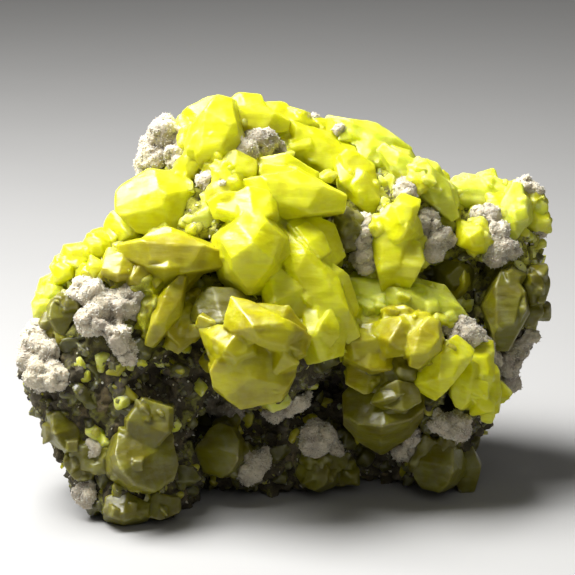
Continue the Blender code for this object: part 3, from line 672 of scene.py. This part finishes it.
def aragonite_finish(settings):
    """Sugary white aragonite with patches of lilac grey, darkened in its hollows as painted shade.
    """
    white, lilac_and_shade = tuple(settings.white), tuple(settings.lilac_and_shade)
    finish = Finish("sugary aragonite")
    patches = finish.noise(4.0, 4, 0.6)
    warmth = finish.noise(6.5, 2)
    grains = finish.cells(0.45)
    fuzz = finish.noise(0.35, 4, 0.7)
    base = finish.mix(white, lilac_and_shade, finish.between(patches, 0.40, 0.68, 0.0, 0.75))
    warm = finish.mix(base, tuple(settings.cream), finish.between(warmth, 0.55, 0.70, 0.0, 0.35))
    # Darker in the hollows: painted shade
    shaded_hollows = finish.mix(warm, tinted(lilac_and_shade, 0.5), finish.times(finish.hollow(0.49, 0.42), 0.6))
    # Pale on the sharpest edges: a painted highlight
    edges = finish.times(finish.hollow(0.51, 0.64), 0.4)
    finish.colour(finish.mix(shaded_hollows, tuple(settings.edge_highlight), edges))
    finish.roughness(finish.between(grains, 0.0, 0.5, 0.45, 0.85))
    finish.bump([(grains, 0.12), (fuzz, 0.12)])
    finish.set(
        IOR=1.5,
        Specular_IOR_Level=0.2,
        Subsurface_Weight=0.7,
        Subsurface_Radius=(1.0, 0.85, 0.8),
        Subsurface_Scale=0.9 * MM,
    )
    return finish.material


def matrix_finish(settings):
    """Dull marly limestone, veined with clay and dusted with sulfur."""
    marl, pit_shade, ash = tuple(settings.marl), tuple(settings.shade), tuple(settings.ash)
    finish = Finish("marly limestone")
    patches = finish.noise(7.0, 5, 0.62)
    powder = finish.noise(3.6, 5, 0.65, 0.8)
    crumbs = finish.noise(0.9, 5, 0.7)
    veins = finish.noise(2.0, 4, 0.6, 0.0, finish.stretched((1.0, 1.0, 0.28), (0, 8, 0)))
    base = finish.mix(marl, ash, finish.between(patches, 0.50, 0.66))
    veined = finish.mix(base, tuple(settings.clay), finish.between(veins, 0.52, 0.66, 0.0, 0.7))
    powdered = finish.between(powder, 0.52, 0.62, 0.0, 0.85)
    stained = finish.mix(veined, tuple(settings.stain), powdered)
    high = finish.height(MIXED_ABOVE, BRIGHT_ABOVE)
    upper = finish.times(high, finish.between(powder, 0.32, 0.50, 0.35, 0.9))
    dusted = finish.mix(stained, tuple(settings.dust), upper)
    crumbled = finish.mix(dusted, tinted(marl, 0.4), finish.between(crumbs, 0.50, 0.36, 0.0, 0.8))
    # Darker in the hollows and pits: painted shade
    shaded_pits = finish.mix(crumbled, pit_shade, finish.times(finish.hollow(0.50, 0.42), 0.9))
    finish.colour(finish.mix(shaded_pits, ash, finish.times(finish.hollow(0.52, 0.62), 0.5)))
    finish.roughness(finish.between(crumbs, 0.3, 0.7, 0.72, 0.95))
    finish.bump([(crumbs, 0.35), (finish.noise(0.3, 4, 0.7), 0.10)])
    finish.set(IOR=1.5)
    return finish.material


# ---- what grows on the rock ----


def tree_of(objects):
    """One search tree of several objects' surfaces."""
    places, faces, start = [], [], 0
    for piece in objects:
        found = positions(piece)
        places.extend(map(Vector, found.tolist()))
        faces.extend([start + v for v in polygon.vertices] for polygon in piece.data.polygons)
        start += len(found)
    return BVHTree.FromPolygons(places, faces)


def growths():
    """A search tree of every solid but the rock."""
    return tree_of([node for name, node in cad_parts.items() if name != "matrix"])


def seed_crystal(faces, chance):
    """A small sulfur crystal: a block cut down to bipyramid and dome faces by one plane each."""
    seed = primitive(bpy.ops.mesh.primitive_cube_add, size=SEED_BLOCK)
    bpy.ops.object.mode_set(mode="EDIT")
    for normal, distance in faces:
        plane = Vector(normal).normalized()
        bpy.ops.mesh.select_all(action="SELECT")
        bpy.ops.mesh.bisect(
            plane_co=plane * distance * chance.uniform(0.9, 1.1), plane_no=plane,
            use_fill=True, clear_outer=True,
        )
    bpy.ops.mesh.select_all(action="SELECT")
    bpy.ops.mesh.normals_make_consistent(inside=False)
    bpy.ops.object.mode_set(mode="OBJECT")
    return seed


def mirrored(face, distance):
    """A crystal face and its mirror images, each with its distance from the middle."""
    signs = product(*((1, -1) if part else (1,) for part in face))
    return [(tuple(map(mul, face, sign)), distance) for sign in signs]


def seed_crystals(chance):
    """The few crystals that all the small ones are copies of."""
    steep = mirrored((1.0, 0.95, 0.45), 0.80)
    flat = mirrored((0.7, 0.65, 1.0), 0.84)
    ends = mirrored((0, 0, 1), 0.86)
    domes = mirrored((0, 0.9, 0.8), 0.86)
    habits = (steep + flat, steep + ends, steep + flat + ends, steep + domes + ends, steep + domes)
    return [
        shape_of(seed_crystal(habits[number % len(habits)], chance)) for number in range(SEEDS)
    ]


def seed_grain():
    """A rough grain: a coarse ball, pinched to a blunt point."""
    grain = primitive(bpy.ops.mesh.primitive_ico_sphere_add, subdivisions=1, radius=1.0)
    bpy.ops.object.mode_set(mode="EDIT")
    bpy.ops.mesh.select_mode(type="VERT")
    bpy.ops.mesh.select_all(action="DESELECT")
    bpy.ops.object.mode_set(mode="OBJECT")
    for vertex in grain.data.vertices:
        vertex.select = vertex.co.z > 0.8
    bpy.ops.object.mode_set(mode="EDIT")
    bpy.ops.transform.translate(value=(0.1, 0, 0.7))
    bpy.ops.object.mode_set(mode="OBJECT")
    return grain


def seed_ball():
    """A round lump for the aragonite, which is remeshed and carved with its run."""
    return primitive(bpy.ops.mesh.primitive_ico_sphere_add, subdivisions=2, radius=SEED_REACH)


def shape_of(seed):
    """A seed's places and faces, after which the seed itself is removed."""
    shape = (positions(seed).astype(float), [list(face.vertices) for face in seed.data.polygons])
    bpy.data.objects.remove(seed)
    return shape


def planted(name, shapes, plants):
    """One mesh of many copies. A plant is the number of its shape and its 4 by 4 matrix."""
    places, faces, start = [], [], 0
    for number, matrix in plants:
        points, rings = shapes[number]
        turned = points @ np.array(matrix.to_3x3()).T + np.array(matrix.translation)
        places.append(turned)
        faces.extend([start + v for v in ring] for ring in rings)
        start += len(points)
    mesh = bpy.data.meshes.new(name)
    mesh.from_pydata(np.concatenate(places).tolist(), [], faces)
    piece = bpy.data.objects.new(name, mesh)
    bpy.context.scene.collection.objects.link(piece)
    return piece


def stand_on(point, normal, sizes, chance, tilt):
    """A matrix that stands something on the rock, leaning at random."""
    lean = Vector([chance.gauss(0, tilt) for _ in range(3)])
    upright = (normal + lean).normalized().to_track_quat("Z", "Y").to_matrix()
    turn = upright @ Matrix.Rotation(chance.uniform(0, FULL_TURN), 3, "Z")
    return Matrix.Translation(point) @ (turn @ Matrix.Diagonal(sizes)).to_4x4()


def scattered(surface, count, chance, keep):
    """Points and normals spread evenly over a surface, where keep says so."""
    faces = surface.data.polygons
    areas = np.empty(len(faces))
    faces.foreach_get("area", areas)
    totals = np.cumsum(areas)
    found = []
    for _ in range(count * TRIES):
        if len(found) == count:
            break
        face = faces[int(np.searchsorted(totals, chance.random() * totals[-1]))]
        point, normal = face.center.copy(), face.normal.copy()
        if point.z > LOWEST and keep(point, normal):
            found.append((point, normal))
    return found


def outward(point, normal):
    """Whether a point of a crystal lies on its open side."""
    return normal.dot(TOWARD) > -0.35 or normal.z > 0.3


def everywhere(point, normal):
    """Keeps every place."""
    return True


def pocket_depth(point):
    """1 in the middle of the deepest pocket and 0 outside all of them."""
    across, up = on_sight_plane(point)
    depth = 0.0
    for pocket in POCKETS:
        away = math.hypot(across - pocket.across, up - pocket.up) / pocket.radius
        depth = max(depth, pocket.depth * (1 - away * away))
    return depth


# ---- operators ----


class FinishNodes:
    """Shared by the operators that finish CAD nodes."""

    def made(self, node, size, smoothing, shapes=(), chance=None, overgrowth=None):
        """A finely meshed copy of a node, joined with what stands out of it and grows on it."""
        piece = copy_of_node(node, node + "_finished")
        plants = []
        if node in FEATURES:
            solids = tree_of(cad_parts.values())
            plants = [self.feature(feature, solids, shapes, chance) for feature in FEATURES[node]]
        if overgrowth:
            plants += self.overgrown(piece, overgrowth, shapes, chance)
        if plants:
            grown = planted("grown", shapes, plants)
            select_only(piece)
            grown.select_set(True)
            bpy.ops.object.join()
        remesh(piece, size, smoothing)
        if not piece.data.polygons:
            raise RuntimeError(f"{node} has no surface left")
        return piece

    def feature(self, feature, solids, shapes, chance):
        """A crystal seated on the surface, with its long axis across the line of sight."""
        target = MIDDLE + Vector((1, 0, 0)) * feature.across * MM + UPWARD * feature.up * MM
        point = solids.ray_cast(EYE, (target - EYE).normalized())[0] or target
        seat = Matrix.Translation(point - TOWARD * feature.width * feature.sink * MM)
        half = Vector((feature.width, feature.width, feature.length)) * MM
        angle = math.radians(feature.turn)
        along = Vector((math.cos(angle), 0, 0)) + UPWARD * math.sin(angle)
        turn = Matrix((along.cross(TOWARD), TOWARD, along)).transposed()
        if feature.cut:
            number = SEEDS + list(CUTS).index(feature.cut)
            return number, seat @ (turn @ Matrix.Diagonal(half)).to_4x4()
        turn @= Matrix.Rotation(chance.gauss(0, 0.2), 3, "X")
        turn @= Matrix.Rotation(chance.uniform(-0.6, 0.6), 3, "Z")
        number = chance.randrange(min(SEEDS, len(shapes)))
        return number, seat @ (turn @ Matrix.Diagonal(half / SEED_REACH)).to_4x4()

    def overgrown(self, piece, overgrowth, shapes, chance):
        """Smaller crystals out of a group, all lying nearly the same way."""
        area = sum(face.area for face in piece.data.polygons)
        count = round(overgrowth.density * area * CM2_PER_M2)
        common = Matrix.Rotation(chance.uniform(0.3, 1.1), 3, "Y") @ Matrix.Rotation(1.2, 3, "X")
        plants = []
        for point, normal in scattered(piece, count, chance, outward):
            size = overgrowth.largest * chance.uniform(0.45, 1.0) * MM
            sizes = [size * chance.uniform(0.7, 0.95) for _ in range(2)] + [size * 1.3]
            wobble = Matrix.Rotation(chance.gauss(0, 0.14), 3, "X")
            wobble @= Matrix.Rotation(chance.gauss(0, 0.14), 3, "Z")
            turn = common @ wobble @ Matrix.Diagonal(sizes)
            seat = Matrix.Translation(point - normal * size * 0.58)
            plants.append((chance.randrange(SEEDS), seat @ turn.to_4x4()))
        return plants

    def finish_crystals(self, context, tint, title, nodes):
        """Clean crystals keep their flat faces; rough groups are overgrown and etched."""
        settings = context.scene.specimen_sulfur
        skin = CRYSTAL_SKINS[tint]
        material = sulfur_finish(title, tint, settings, skin)
        chance = random.Random(skin.slot)
        shapes = seed_crystals(chance)
        shapes += [shape_of(seed_crystal(cut, random.Random(0))) for cut in CUTS.values()]
        for node, rough in nodes.items():
            if rough:
                rough = rough._replace(density=rough.density * settings.overgrowth)
            piece = self.made(node, settings.mesh_size, 1, shapes, chance, rough)
            swell(piece, settings.growth)
            carve(piece, ROUGH_CRYSTAL if rough else CLEAN_CRYSTAL)
            thin_out(piece, KEPT)
            finish_piece(piece, material, CREASE, [node])
        return {"FINISHED"}


def weigh(piece, name, shares):
    """Adds a vertex group in which each vertex has its share."""
    group = piece.vertex_groups.new(name=name)
    for number, share in enumerate(shares):
        if share:
            group.add([number], share, "REPLACE")


def nearness(tree, point, reach):
    """1 on a surface and 0 beyond its reach."""
    gap = tree.find_nearest(point, reach)[3]
    return 0.0 if gap is None else 1 - gap / reach


class SPECIMEN_OT_matrix(FinishNodes, bpy.types.Operator):
    """Weather the limestone and raise it to meet what grows on it"""

    bl_idname = "specimen.matrix"
    bl_label = "Finish Matrix"

    def execute(self, context):
        settings = context.scene.specimen_matrix
        piece = self.made("matrix", settings.mesh_size, 2)
        tree = growths()
        places = positions(piece).tolist()
        near = [nearness(tree, Vector(place), SKIRT_REACH) for place in places]
        weigh(piece, "near growths", near)
        weigh(piece, "open rock", [1 - share for share in near])
        swell(piece, settings.skirt, "near growths")
        weigh(piece, "pockets", self.pocket_shares(piece))
        swell(piece, -DEEPEST, "pockets")
        carve(piece, OPEN_ROCK, "open rock")
        carve(piece, ALL_ROCK)
        finish_piece(piece, matrix_finish(settings), ROCK_CREASE, ["matrix"])
        return {"FINISHED"}

    def pocket_shares(self, piece):
        """How deep in a pocket each vertex of the front lies."""
        fronts = [Vector(facing).dot(TOWARD) > 0 for facing in normals(piece).tolist()]
        places = positions(piece).tolist()
        return [front and pocket_depth(Vector(place)) for front, place in zip(fronts, places)]


class SPECIMEN_OT_lemon_crystals(FinishNodes, bpy.types.Operator):
    """Etch and paint the bright lemon crystals"""

    bl_idname = "specimen.lemon_crystals"
    bl_label = "Finish Lemon Crystals"

    def execute(self, context):
        return self.finish_crystals(context, "lemon", "lemon sulfur", LEMON_NODES)


class SPECIMEN_OT_lime_crystals(FinishNodes, bpy.types.Operator):
    """Etch and paint the pale, powdery crystals"""

    bl_idname = "specimen.lime_crystals"
    bl_label = "Finish Lime Crystals"

    def execute(self, context):
        return self.finish_crystals(context, "lime", "powdery lime sulfur", LIME_NODES)


class SPECIMEN_OT_amber_crystals(FinishNodes, bpy.types.Operator):
    """Etch and paint the amber crystals"""

    bl_idname = "specimen.amber_crystals"
    bl_label = "Finish Amber Crystals"

    def execute(self, context):
        return self.finish_crystals(context, "amber", "amber sulfur", AMBER_NODES)


class SPECIMEN_OT_shaded_olive_crystals(FinishNodes, bpy.types.Operator):
    """Etch and paint the low crystals a dark greenish yellow, which is painted shade"""

    bl_idname = "specimen.olive_crystals"
    bl_label = "Finish Olive Crystals"

    def execute(self, context):
        return self.finish_crystals(context, "olive", "olive sulfur", SHADED_OLIVE_NODES)


class SPECIMEN_OT_seams(bpy.types.Operator):
    """Fill the seams between neighbouring crystals with fused sulfur"""

    bl_idname = "specimen.seams"
    bl_label = "Fill Seams"

    def execute(self, context):
        settings = context.scene.specimen_sulfur
        lumps = tree_of([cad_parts[name] for name in ARAGONITE_NODES])
        bright = [*LEMON_NODES, *LIME_NODES, *SEAM_MATES]
        deep = [name for name in (*AMBER_NODES, *SHADED_OLIVE_NODES) if name not in SOLITARY]
        # The deep seams take the dark skin of the low crystals, which is painted shade
        for name, nodes, tint, title in (
            ("bright_seams", bright, "lemon", "bright seam sulfur"),
            ("deep_seams", deep, "olive", "deep seam sulfur"),
        ):
            piece = self.fused(name, nodes, settings.seam, lumps)
            skin = SEAM_SKINS[tint]
            material = sulfur_finish(title, tint, settings, skin)
            finish_piece(piece, material, CREASE)
        return {"FINISHED"}

    def fused(self, name, nodes, seam, lumps):
        """Grows a joined copy of the groups until their gaps close, then shrinks it back."""
        parts = [copy_of_node(node, f"{node}_seam") for node in nodes]
        bpy.ops.object.select_all(action="DESELECT")
        for part in parts:
            part.select_set(True)
        piece = parts[0]
        bpy.context.view_layer.objects.active = piece
        bpy.ops.object.join()
        piece.name = name
        remesh(piece, SEAM_MESH, 0)
        swell(piece, seam)
        remesh(piece, SEAM_MESH, 0)
        swell(piece, -seam - SEAM_UNDER)
        points = [Vector(place) for place in positions(piece).tolist()]
        weigh(piece, "sunk", [self.sunk_share(point, lumps) for point in points])
        swell(piece, -SEAM_SUNK, "sunk")
        remesh(piece, SEAM_MESH, 1)
        carve(piece, FUSED_SEAM)
        thin_out(piece, SEAM_KEPT)
        return piece

    def sunk_share(self, point, lumps):
        """1 close to aragonite and in the middle of a pocket, less around them."""
        return max(min(1.0, 1.6 * nearness(lumps, point, SEAM_REACH)), pocket_depth(point))


class SPECIMEN_OT_aragonite(FinishNodes, bpy.types.Operator):
    """Give the aragonite lumps their lobes and sugary grain"""

    bl_idname = "specimen.aragonite"
    bl_label = "Finish Aragonite"

    def execute(self, context):
        settings = context.scene.specimen_aragonite
        sugary = aragonite_finish(settings)
        chance = random.Random("aragonite")
        balls = [shape_of(seed_ball())]
        lobes = (
            Relief("clouds", 2.0 * settings.lobe, 0.5 * MM),
            Relief("lobes", settings.lobe, 1.5 * MM),
            Relief("lobes", 0.42 * settings.lobe, 0.4 * MM),
            Relief("lobes", settings.grain, 0.14 * MM),
        )
        for node in ARAGONITE_NODES:
            piece = self.made(node, settings.mesh_size, 10, balls, chance)
            carve(piece, lobes)
            finish_piece(piece, sugary, CREASE, [node])
        return {"FINISHED"}


class Ground:
    """The rock as the small crystals find it: what else is near, and which way it faces."""

    def __init__(self):
        self.others = growths()

    def bare(self, point, clearance):
        return self.others.find_nearest(point, clearance)[0] is None

    def open_front(self, point, normal):
        faces_front = normal.dot(TOWARD) > -0.1
        return faces_front and pocket_depth(point) < 0.3 and self.bare(point, 0.3 * MM)

    def between(self, point, normal):
        return self.open_front(point, normal) and not self.bare(point, 2.4 * MM)

    def back(self, point, normal):
        return normal.dot(TOWARD) < -0.1 and self.bare(point, 0.8 * MM)

    def anywhere(self, point, normal):
        return self.bare(point, 0.05 * MM)


class SPECIMEN_OT_druse(bpy.types.Operator):
    """Grow small crystals over the rock between the large ones"""

    bl_idname = "specimen.druse"
    bl_label = "Grow Druse"

    def execute(self, context):
        settings = context.scene.specimen_druse
        sulfur = context.scene.specimen_sulfur
        chance = random.Random(settings.seed)
        rock = bpy.data.objects.get("matrix_finished")
        if rock is None:
            raise RuntimeError("finish the matrix before growing the druse")
        shapes = seed_crystals(chance)
        ground = Ground()
        fused = {kind: [] for kind in DRUSE_SKINS}
        crumbs = {kind: [] for kind in DRUSE_SKINS}
        for plants, places, span in (
            (fused, scattered(rock, settings.between, chance, ground.between), BETWEEN_SPAN),
            (fused, scattered(rock, settings.front, chance, ground.open_front), FRONT_SPAN),
            (fused, scattered(rock, settings.back, chance, ground.back), BACK_SPAN),
            (crumbs, scattered(rock, settings.crumbs, chance, ground.anywhere), CRUMB_SPAN),
        ):
            self.plant(plants, places, span, len(shapes), chance)
        for kind, skin in DRUSE_SKINS.items():
            material = sulfur_finish(f"{kind} druse", kind, sulfur, skin)
            crust = planted(f"{kind}_crust", shapes, fused[kind])
            remesh(crust, settings.mesh_size, 0)
            carve(crust, CRUST)
            thin_out(crust, KEPT)
            finish_piece(crust, material, CREASE)
            small = planted(f"{kind}_crumbs", shapes, crumbs[kind])
            finish_piece(small, material, GRAIN_CREASE)
        return {"FINISHED"}

    def plant(self, plants, places, span, shape_count, chance):
        """Stands a crystal on each place, more small ones than large ones."""
        for point, normal in places:
            share = chance.random() ** 1.6
            size = (span.smallest + (span.largest - span.smallest) * share) * MM
            sizes = [size * chance.uniform(0.7, 1.0) for _ in range(2)]
            sizes.append(size * chance.uniform(0.9, 1.5))
            matrix = stand_on(point - normal * size * 0.5, normal, sizes, chance, 0.9)
            plants[self.kind(point, chance)].append((chance.randrange(shape_count), matrix))

    def kind(self, point, chance):
        """Bright above, a dark colour below that is painted shade, with amber here and there."""
        height = point.z / MM + chance.uniform(-HEIGHT_SPREAD, HEIGHT_SPREAD)
        if chance.random() < AMBER_SHARE:
            return "amber"
        if height > BRIGHT_ABOVE:
            return "lemon" if chance.random() < LEMON_SHARE else "lime"
        if height > MIXED_ABOVE:
            return chance.choice(("lemon", "lime", "moss"))
        return "moss" if chance.random() < SHADED_MOSS_SHARE else "lime"


class SPECIMEN_OT_grains(bpy.types.Operator):
    """Sprinkle aragonite grains over the lumps and the rock"""

    bl_idname = "specimen.grains"
    bl_label = "Sprinkle Grains"

    def execute(self, context):
        settings = context.scene.specimen_druse
        chance = random.Random(settings.seed + 1)
        grain = [shape_of(seed_grain())]
        rock = bpy.data.objects["matrix_finished"]
        lumps = [bpy.data.objects[f"{node}_finished"] for node in ARAGONITE_NODES]
        areas = [sum(face.area for face in lump.data.polygons) for lump in lumps]
        counts = [round(settings.sugar * area / sum(areas)) for area in areas]
        half = len(lumps) // 2
        for name, surfaces, numbers, span in (
            ("rock_grains", [rock], [settings.rock_grains], ROCK_GRAIN_SPAN),
            ("sugar_grains_a", lumps[:half], counts[:half], SUGAR_SPAN),
            ("sugar_grains_b", lumps[half:], counts[half:], SUGAR_SPAN),
        ):
            self.sprinkle(name, grain, surfaces, numbers, span, chance)
        return {"FINISHED"}

    def sprinkle(self, name, shapes, surfaces, counts, span, chance):
        """One piece of grains, scattered over some surfaces."""
        plants = []
        for surface, count in zip(surfaces, counts):
            for point, normal in scattered(surface, count, chance, everywhere):
                size = chance.uniform(span.smallest, span.largest) * MM
                sizes = [size * chance.uniform(0.6, 1.1) for _ in range(2)]
                sizes.append(size * chance.uniform(1.0, 1.9))
                plants.append((0, stand_on(point, normal, sizes, chance, 0.6)))
        sugary = bpy.data.materials["sugary aragonite"]
        finish_piece(planted(name, shapes, plants), sugary, GRAIN_CREASE)


class SPECIMEN_OT_stage(bpy.types.Operator):
    """Set up the floor, the soft lights and the camera"""

    bl_idname = "specimen.stage"
    bl_label = "Set Stage"

    def execute(self, context):
        settings = context.scene.specimen_stage
        self.add_floor(settings)
        self.add_light("key light", settings.key, KEY)
        self.add_light("fill light", settings.fill, FILL)
        world = bpy.data.worlds.new("studio")
        world.use_nodes = True
        background = world.node_tree.nodes["Background"]
        background.inputs["Color"].default_value = (1.0, 0.98, 0.94, 1)
        background.inputs["Strength"].default_value = settings.room
        context.scene.world = world
        context.scene.view_settings.view_transform = "Standard"
        self.add_camera(context, settings)
        return {"FINISHED"}

    def add_floor(self, settings):
        floor = primitive(bpy.ops.mesh.primitive_plane_add, size=FLOOR_WIDTH)
        floor.name = "floor"
        finish = Finish("pale floor")
        tone = tuple(settings.floor)
        finish.colour(finish.mix(tone, tinted(tone, 0.96), finish.noise(40, 3)))
        finish.set(Roughness=0.8)
        floor.data.materials.append(finish.material)

    def add_light(self, name, power, lamp):
        bpy.ops.object.light_add(type="AREA", location=lamp.place)
        light = bpy.context.object
        light.name = name
        light.data.energy = power
        light.data.size = lamp.width
        toward = MIDDLE - Vector(lamp.place)
        light.rotation_euler = toward.to_track_quat("-Z", "Y").to_euler()

    def add_camera(self, context, settings):
        back = Vector((0, -math.cos(settings.elevation), math.sin(settings.elevation)))
        bpy.ops.object.camera_add(location=MIDDLE + back * settings.distance)
        camera = bpy.context.object
        camera.name = "camera"
        camera.rotation_euler = (-back).to_track_quat("-Z", "Y").to_euler()
        camera.data.sensor_width = SENSOR
        camera.data.lens = SENSOR * settings.distance / FIELD
        camera.data.clip_start = 0.01
        context.scene.camera = camera


class SPECIMEN_PT_panel(bpy.types.Panel):
    """Lists the specimen's operators and settings"""

    bl_idname = "SPECIMEN_PT_panel"
    bl_label = "Sulfur Specimen"
    bl_space_type = "VIEW_3D"
    bl_region_type = "UI"
    bl_category = "Specimen"

    def draw(self, context):
        for action in OPERATORS:
            self.layout.operator(action.bl_idname)
        for name, group in SETTINGS.items():
            box = self.layout.box()
            for value in group.__annotations__:
                box.prop(getattr(context.scene, name), value)


SETTINGS = {
    "specimen_sulfur": SulfurSettings,
    "specimen_aragonite": AragoniteSettings,
    "specimen_matrix": MatrixSettings,
    "specimen_druse": DruseSettings,
    "specimen_stage": StageSettings,
}
OPERATORS = (
    SPECIMEN_OT_matrix,
    SPECIMEN_OT_lemon_crystals,
    SPECIMEN_OT_lime_crystals,
    SPECIMEN_OT_amber_crystals,
    SPECIMEN_OT_shaded_olive_crystals,
    SPECIMEN_OT_seams,
    SPECIMEN_OT_aragonite,
    SPECIMEN_OT_druse,
    SPECIMEN_OT_grains,
    SPECIMEN_OT_stage,
)


def register():
    for group in (*SETTINGS.values(), *OPERATORS, SPECIMEN_PT_panel):
        bpy.utils.register_class(group)
    for name, group in SETTINGS.items():
        setattr(bpy.types.Scene, name, bpy.props.PointerProperty(type=group))


def unregister():
    for name in SETTINGS:
        delattr(bpy.types.Scene, name)
    for group in reversed((*SETTINGS.values(), *OPERATORS, SPECIMEN_PT_panel)):
        bpy.utils.unregister_class(group)


def main():
    register()
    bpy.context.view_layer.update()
    bpy.ops.specimen.matrix()
    bpy.ops.specimen.lemon_crystals()
    bpy.ops.specimen.lime_crystals()
    bpy.ops.specimen.amber_crystals()
    bpy.ops.specimen.olive_crystals()
    bpy.ops.specimen.seams()
    bpy.ops.specimen.aragonite()
    bpy.ops.specimen.druse()
    bpy.ops.specimen.grains()
    bpy.ops.specimen.stage()


if __name__ == "__main__":
    main()
